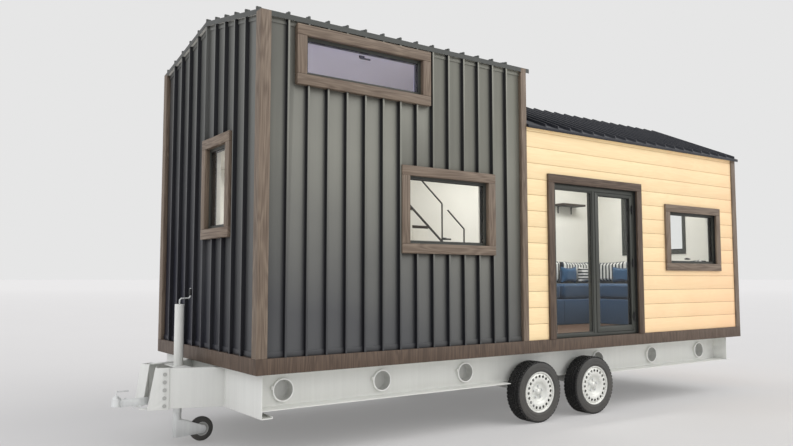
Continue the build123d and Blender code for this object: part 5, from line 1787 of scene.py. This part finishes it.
def pillow_start(low, high, thin):
    """A pillow's case before it is filled: thin at its edges, with sides that pull in between its corners."""
    mesh = round_box(low, high, 0.02, (0, 0, 0))
    middle, half = (low + high) / 2, (high - low) / 2
    flat = [axis for axis in range(3) if axis != thin]
    edge, swell, pull = 0.16, 0.74, 0.045
    for vert in mesh.verts:
        first, second = [max(-1.0, min(1.0, (vert.co[axis] - middle[axis]) / half[axis])) for axis in flat]
        body = ((1 - abs(first) ** 2.6) * (1 - abs(second) ** 2.6)) ** 0.5
        vert.co[thin] = middle[thin] + (vert.co[thin] - middle[thin]) * (edge + swell * body)
        vert.co[flat[0]] -= pull * first * half[flat[0]] * (1 - second ** 2)
        vert.co[flat[1]] -= pull * second * half[flat[1]] * (1 - first ** 2)
    return mesh


def box_corners(box, thin, level):
    """The four corners of a section through a box."""
    flat = [axis for axis in range(3) if axis != thin]
    corners = []
    for ends in ((0, 0), (1, 0), (1, 1), (0, 1)):
        corner = Vector((level,) * 3)
        for axis, end in zip(flat, ends):
            corner[axis] = box[end][axis]
        corners.append(corner)
    return corners


def piped(body, welt):
    """A cover and its piping as one mesh, the piping in the second material."""
    for mesh, index in ((body, 0), (welt, 1)):
        for face in mesh.faces:
            face.material_index = index
    return joined([body, welt])


def cushion(name, box, finish, thin, start, seam_levels, voxel, trim):
    """A filled cushion with piping along its seams. thin is the axis through its two large faces."""
    room = look("room")
    low, high = box
    body = settle(start, voxel, room.swell, name)
    held_in(body, low, high)
    bmesh.ops.recalc_face_normals(body, faces=body.faces)
    tree = BVHTree.FromBMesh(body)
    welt = joined([bar(seam_path(tree, box_corners(box, thin, level)), room.piping, 0.02, True, 8, trim)
                   for level in seam_levels])
    piece(name, piped(body, welt), [finish, trim], smooth=75)


def box_cushion(name, box, finish, thin, bulge, voxel):
    """A seat or back cushion with a border between its two large faces."""
    low, high = box
    inset, puff = Vector((0.012,) * 3), Vector((0.004,) * 3)
    inset[thin], puff[thin] = 0.018, bulge
    edge = 0.03
    start = round_box(low + inset, high - inset, edge, puff)
    cushion(name, box, finish, thin, start, (low[thin] + edge, high[thin] - edge), voxel, "piping")


def thin_axis(box):
    """The level axis on which an upright cushion is thinner."""
    size = box[1] - box[0]
    return 0 if size.x < size.y else 1


def build_sofa():
    """The corner sofa: a covered base, filled seat and back cushions, and pillows."""
    low, high = node_box("sofa_base")
    cushions = solid_boxes("sofa_cushions")
    seams = []
    for first, _ in cushions[1:]:
        if first.y > low.y + 0.3:
            x, y = first.x - 0.003, first.y - 0.001
            seams.append(bar([(x, y, low.z + 0.03), (x, y, high.z - 0.015)], 0.004, finish="piping", sides=8))
    piece("sofa_base_covered", piped(softened("sofa_base", 0.014, 4), joined(seams)), ["sofa", "piping"],
          stands_for="sofa_base", smooth=60)
    for number, box in enumerate(cushions):
        box_cushion(f"seat_cushion_{number}", box, "sofa", 2, 0.014, 0.018)
    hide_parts("sofa_cushions")
    for number, box in enumerate(solid_boxes("back_cushions")):
        thin = thin_axis(box)
        box_cushion(f"back_cushion_{number}", box, ("stripes_y", "stripes_x")[thin], thin, 0.012,
                    0.015)
    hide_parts("back_cushions")
    boxes = solid_boxes("pillows")
    striped = sorted(boxes, key=lambda box: box[0].x)[1]
    for number, box in enumerate(boxes):
        low, high = box
        thin = thin_axis(box)
        start = pillow_start(low + Vector((0.006, 0.006, 0.004)), high - Vector((0.006, 0.006, 0.006)), thin)
        finish = "stripes_z" if box is striped else "pillow"
        cushion(f"pillow_{number}", box, finish, thin, start, ((low[thin] + high[thin]) / 2,),
                0.009, "piping" if finish == "pillow" else "stripes_z")
    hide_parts("pillows")


# Studio


def floor_finish(colour):
    """A matt floor with painted shade, a little darker in front and lighter towards the horizon, that keeps the
    house's shadow soft to the camera's eye.
    """
    graph = blank("Studio floor")
    place = graph.place()
    away = graph.along(place, (0.577, 0.816, 0.0))
    # Painted shade: darker towards the camera, lighter far off towards the horizon.
    near = graph.span(away, -6.0, 12.0, 0.90, 0.97)
    far = graph.span(away, 12.0, 90.0, 0.0, 0.10)
    cloud = graph.span(graph.noise(place, 0.5, 2.0, 0.5), 0.3, 0.7, 0.995, 1.005)
    value = graph.times(graph.plus(near, far), cloud)
    toned = graph.toned(four(colour), value)
    plain = graph.add("ShaderNodeBsdfPrincipled", {"Base Color": toned, "Roughness": 0.9, "Specular IOR Level": 0.0})
    dim = graph.add("ShaderNodeBsdfDiffuse", {"Color": graph.toned(toned, 0.57)})
    own = graph.add("ShaderNodeEmission", {"Color": toned, "Strength": 0.27})
    seen = graph.add("ShaderNodeAddShader", {0: dim, 1: own})
    path = graph.add("ShaderNodeLightPath")
    eye = graph.math("MAXIMUM", path.outputs["Is Camera Ray"], path.outputs["Is Transmission Ray"])
    both = graph.add("ShaderNodeMixShader", {0: eye, 1: plain, 2: seen})
    graph.add("ShaderNodeOutputMaterial", {"Surface": both})
    return graph.material


def lamp(name, kind, energy, **settings):
    """Adds a lamp to the scene."""
    data = bpy.data.lights.new(name, kind)
    data.energy = energy
    for key, value in settings.items():
        setattr(data, key, value)
    return linked(name, data)


def sun(name, energy, source, width, colour):
    """Adds a sun that shines from a direction, as wide as an angle in degrees."""
    light = lamp(name, "SUN", energy, angle=math.radians(width), color=colour)
    light.rotation_euler = Vector(source).to_track_quat("Z", "Y").to_euler()


def build_studio():
    """A pale floor that runs to the horizon, a plain backdrop colour, soft lamps and the camera."""
    studio = look("studio")
    scene = bpy.context.scene
    grid = bmesh.new()
    bmesh.ops.create_grid(grid, x_segments=1, y_segments=1, size=900.0)
    floor = linked("studio_floor", stored("studio_floor", grid))
    floor.data.materials.append(floor_finish(studio.floor))
    world = bpy.data.worlds.new("studio")
    scene.world = world
    world.use_nodes = True
    world.node_tree.nodes.clear()
    graph = Graph(world.node_tree)
    path = graph.add("ShaderNodeLightPath")
    seen = graph.math("MAXIMUM", path.outputs["Is Camera Ray"], path.outputs["Is Glossy Ray"])
    seen = graph.math("MAXIMUM", seen, path.outputs["Is Transmission Ray"])
    plain = graph.add("ShaderNodeBackground", {"Color": four(studio.backdrop), "Strength": 1.0})
    soft = graph.add("ShaderNodeBackground", {"Color": (0.965, 0.965, 1.0, 1.0), "Strength": studio.ambient})
    both = graph.add("ShaderNodeMixShader", {0: seen, 1: soft, 2: plain})
    graph.add("ShaderNodeOutputWorld", {"Surface": both})
    sun("key", studio.key, (0.75, -0.85, 0.95), 60, (1.0, 0.985, 0.96))
    sun("fill", studio.fill, (-1.0, -0.05, 0.5), 120, (0.97, 0.98, 1.0))
    for name, place, size, power in (("loft_lamp", (-1.6, 0.0, 3.72), (2.2, 0.5), 15.0),
                                     ("under_loft_lamp", (-1.9, 0.0, 2.66), (1.8, 1.6), 24.0),
                                     ("living_lamp", (1.9, 0.0, 3.3), (3.0, 0.5), 60.0)):
        room = lamp(name, "AREA", power, shape="RECTANGLE", size=size[0], size_y=size[1])
        room.location = place
        room.visible_camera = room.visible_glossy = room.visible_transmission = False
    camera = bpy.data.cameras.new("camera")
    camera.lens = 33.307
    camera.sensor_width = 36.0
    camera.clip_end = 3000.0
    eye = linked("camera", camera)
    eye.location = (-5.637, -6.711, 1.497)
    eye.rotation_euler = (math.radians(94.32), 0.0, math.radians(-35.258))
    scene.camera = eye
    scene.view_settings.view_transform = "Standard"


# Operators


class HOUSE_OT_studio(bpy.types.Operator):
    """Floor, backdrop, lamps and camera"""

    bl_idname = "house.studio"
    bl_label = "Studio"

    def execute(self, context):
        build_studio()
        return {"FINISHED"}


class HOUSE_OT_boards(bpy.types.Operator):
    """Level boards on the walls of the living section"""

    bl_idname = "house.boards"
    bl_label = "Boards"

    def execute(self, context):
        build_boards()
        return {"FINISHED"}


class HOUSE_OT_sheet(bpy.types.Operator):
    """Ribbed wall sheet and standing-seam roofs"""

    bl_idname = "house.sheet"
    bl_label = "Sheet and roofs"

    def execute(self, context):
        build_sheet()
        return {"FINISHED"}


class HOUSE_OT_trim(bpy.types.Operator):
    """Stained posts, skirt and surrounds"""

    bl_idname = "house.trim"
    bl_label = "Timber trim"

    def execute(self, context):
        build_trim()
        return {"FINISHED"}


class HOUSE_OT_windows(bpy.types.Operator):
    """Window frames, gaskets, levers and glass"""

    bl_idname = "house.windows"
    bl_label = "Windows"

    def execute(self, context):
        build_windows()
        return {"FINISHED"}


class HOUSE_OT_door(bpy.types.Operator):
    """Door frame, leaf, glass, hinges and lever"""

    bl_idname = "house.door"
    bl_label = "Door"

    def execute(self, context):
        build_door()
        return {"FINISHED"}


class HOUSE_OT_chassis(bpy.types.Operator):
    """Painted chassis with bolts, lugs and welds"""

    bl_idname = "house.chassis"
    bl_label = "Chassis"

    def execute(self, context):
        build_chassis()
        return {"FINISHED"}


class HOUSE_OT_coupling(bpy.types.Operator):
    """Coupling head and tube"""

    bl_idname = "house.coupling"
    bl_label = "Coupling"

    def execute(self, context):
        build_coupling()
        return {"FINISHED"}


class HOUSE_OT_jockey(bpy.types.Operator):
    """Jockey wheel with its crank"""

    bl_idname = "house.jockey"
    bl_label = "Jockey wheel"

    def execute(self, context):
        build_jockey()
        return {"FINISHED"}


class HOUSE_OT_wheels(bpy.types.Operator):
    """Treaded tyres on pressed rims"""

    bl_idname = "house.wheels"
    bl_label = "Road wheels"

    def execute(self, context):
        build_wheels()
        return {"FINISHED"}


class HOUSE_OT_rooms(bpy.types.Operator):
    """Linings, floor, loft, stair, rail and shelf"""

    bl_idname = "house.rooms"
    bl_label = "Rooms"

    def execute(self, context):
        build_rooms()
        return {"FINISHED"}


class HOUSE_OT_sofa(bpy.types.Operator):
    """Corner sofa with filled cushions and pillows"""

    bl_idname = "house.sofa"
    bl_label = "Sofa"

    def execute(self, context):
        build_sofa()
        return {"FINISHED"}


STEPS = (
    HOUSE_OT_studio, HOUSE_OT_boards, HOUSE_OT_sheet, HOUSE_OT_trim, HOUSE_OT_windows, HOUSE_OT_door,
    HOUSE_OT_chassis, HOUSE_OT_coupling, HOUSE_OT_jockey, HOUSE_OT_wheels, HOUSE_OT_rooms, HOUSE_OT_sofa,
)


class HOUSE_PT_finishes(bpy.types.Panel):
    """Sizes, colours and the steps that dress the house"""

    bl_idname = "HOUSE_PT_finishes"
    bl_label = "House finishes"
    bl_space_type = "VIEW_3D"
    bl_region_type = "UI"
    bl_category = "House"

    def draw(self, context):
        for step in STEPS:
            self.layout.operator(step.bl_idname)
        for part, group in SETTINGS.items():
            box = self.layout.box()
            for key in group.__annotations__:
                box.prop(look(part), key)


def register():
    """Adds the settings, the steps and the panel."""
    for part, group in SETTINGS.items():
        bpy.utils.register_class(group)
        setattr(bpy.types.Scene, "house_" + part, bpy.props.PointerProperty(type=group))
    for kind in (*STEPS, HOUSE_PT_finishes):
        bpy.utils.register_class(kind)


def unregister():
    """Takes them away again."""
    for kind in (HOUSE_PT_finishes, *reversed(STEPS)):
        bpy.utils.unregister_class(kind)
    for part, group in SETTINGS.items():
        delattr(bpy.types.Scene, "house_" + part)
        bpy.utils.unregister_class(group)


def main():
    """Dresses the house step by step."""
    register()
    for step in STEPS:
        getattr(bpy.ops.house, step.bl_idname.split(".")[1])()


if __name__ == "__main__":
    main()
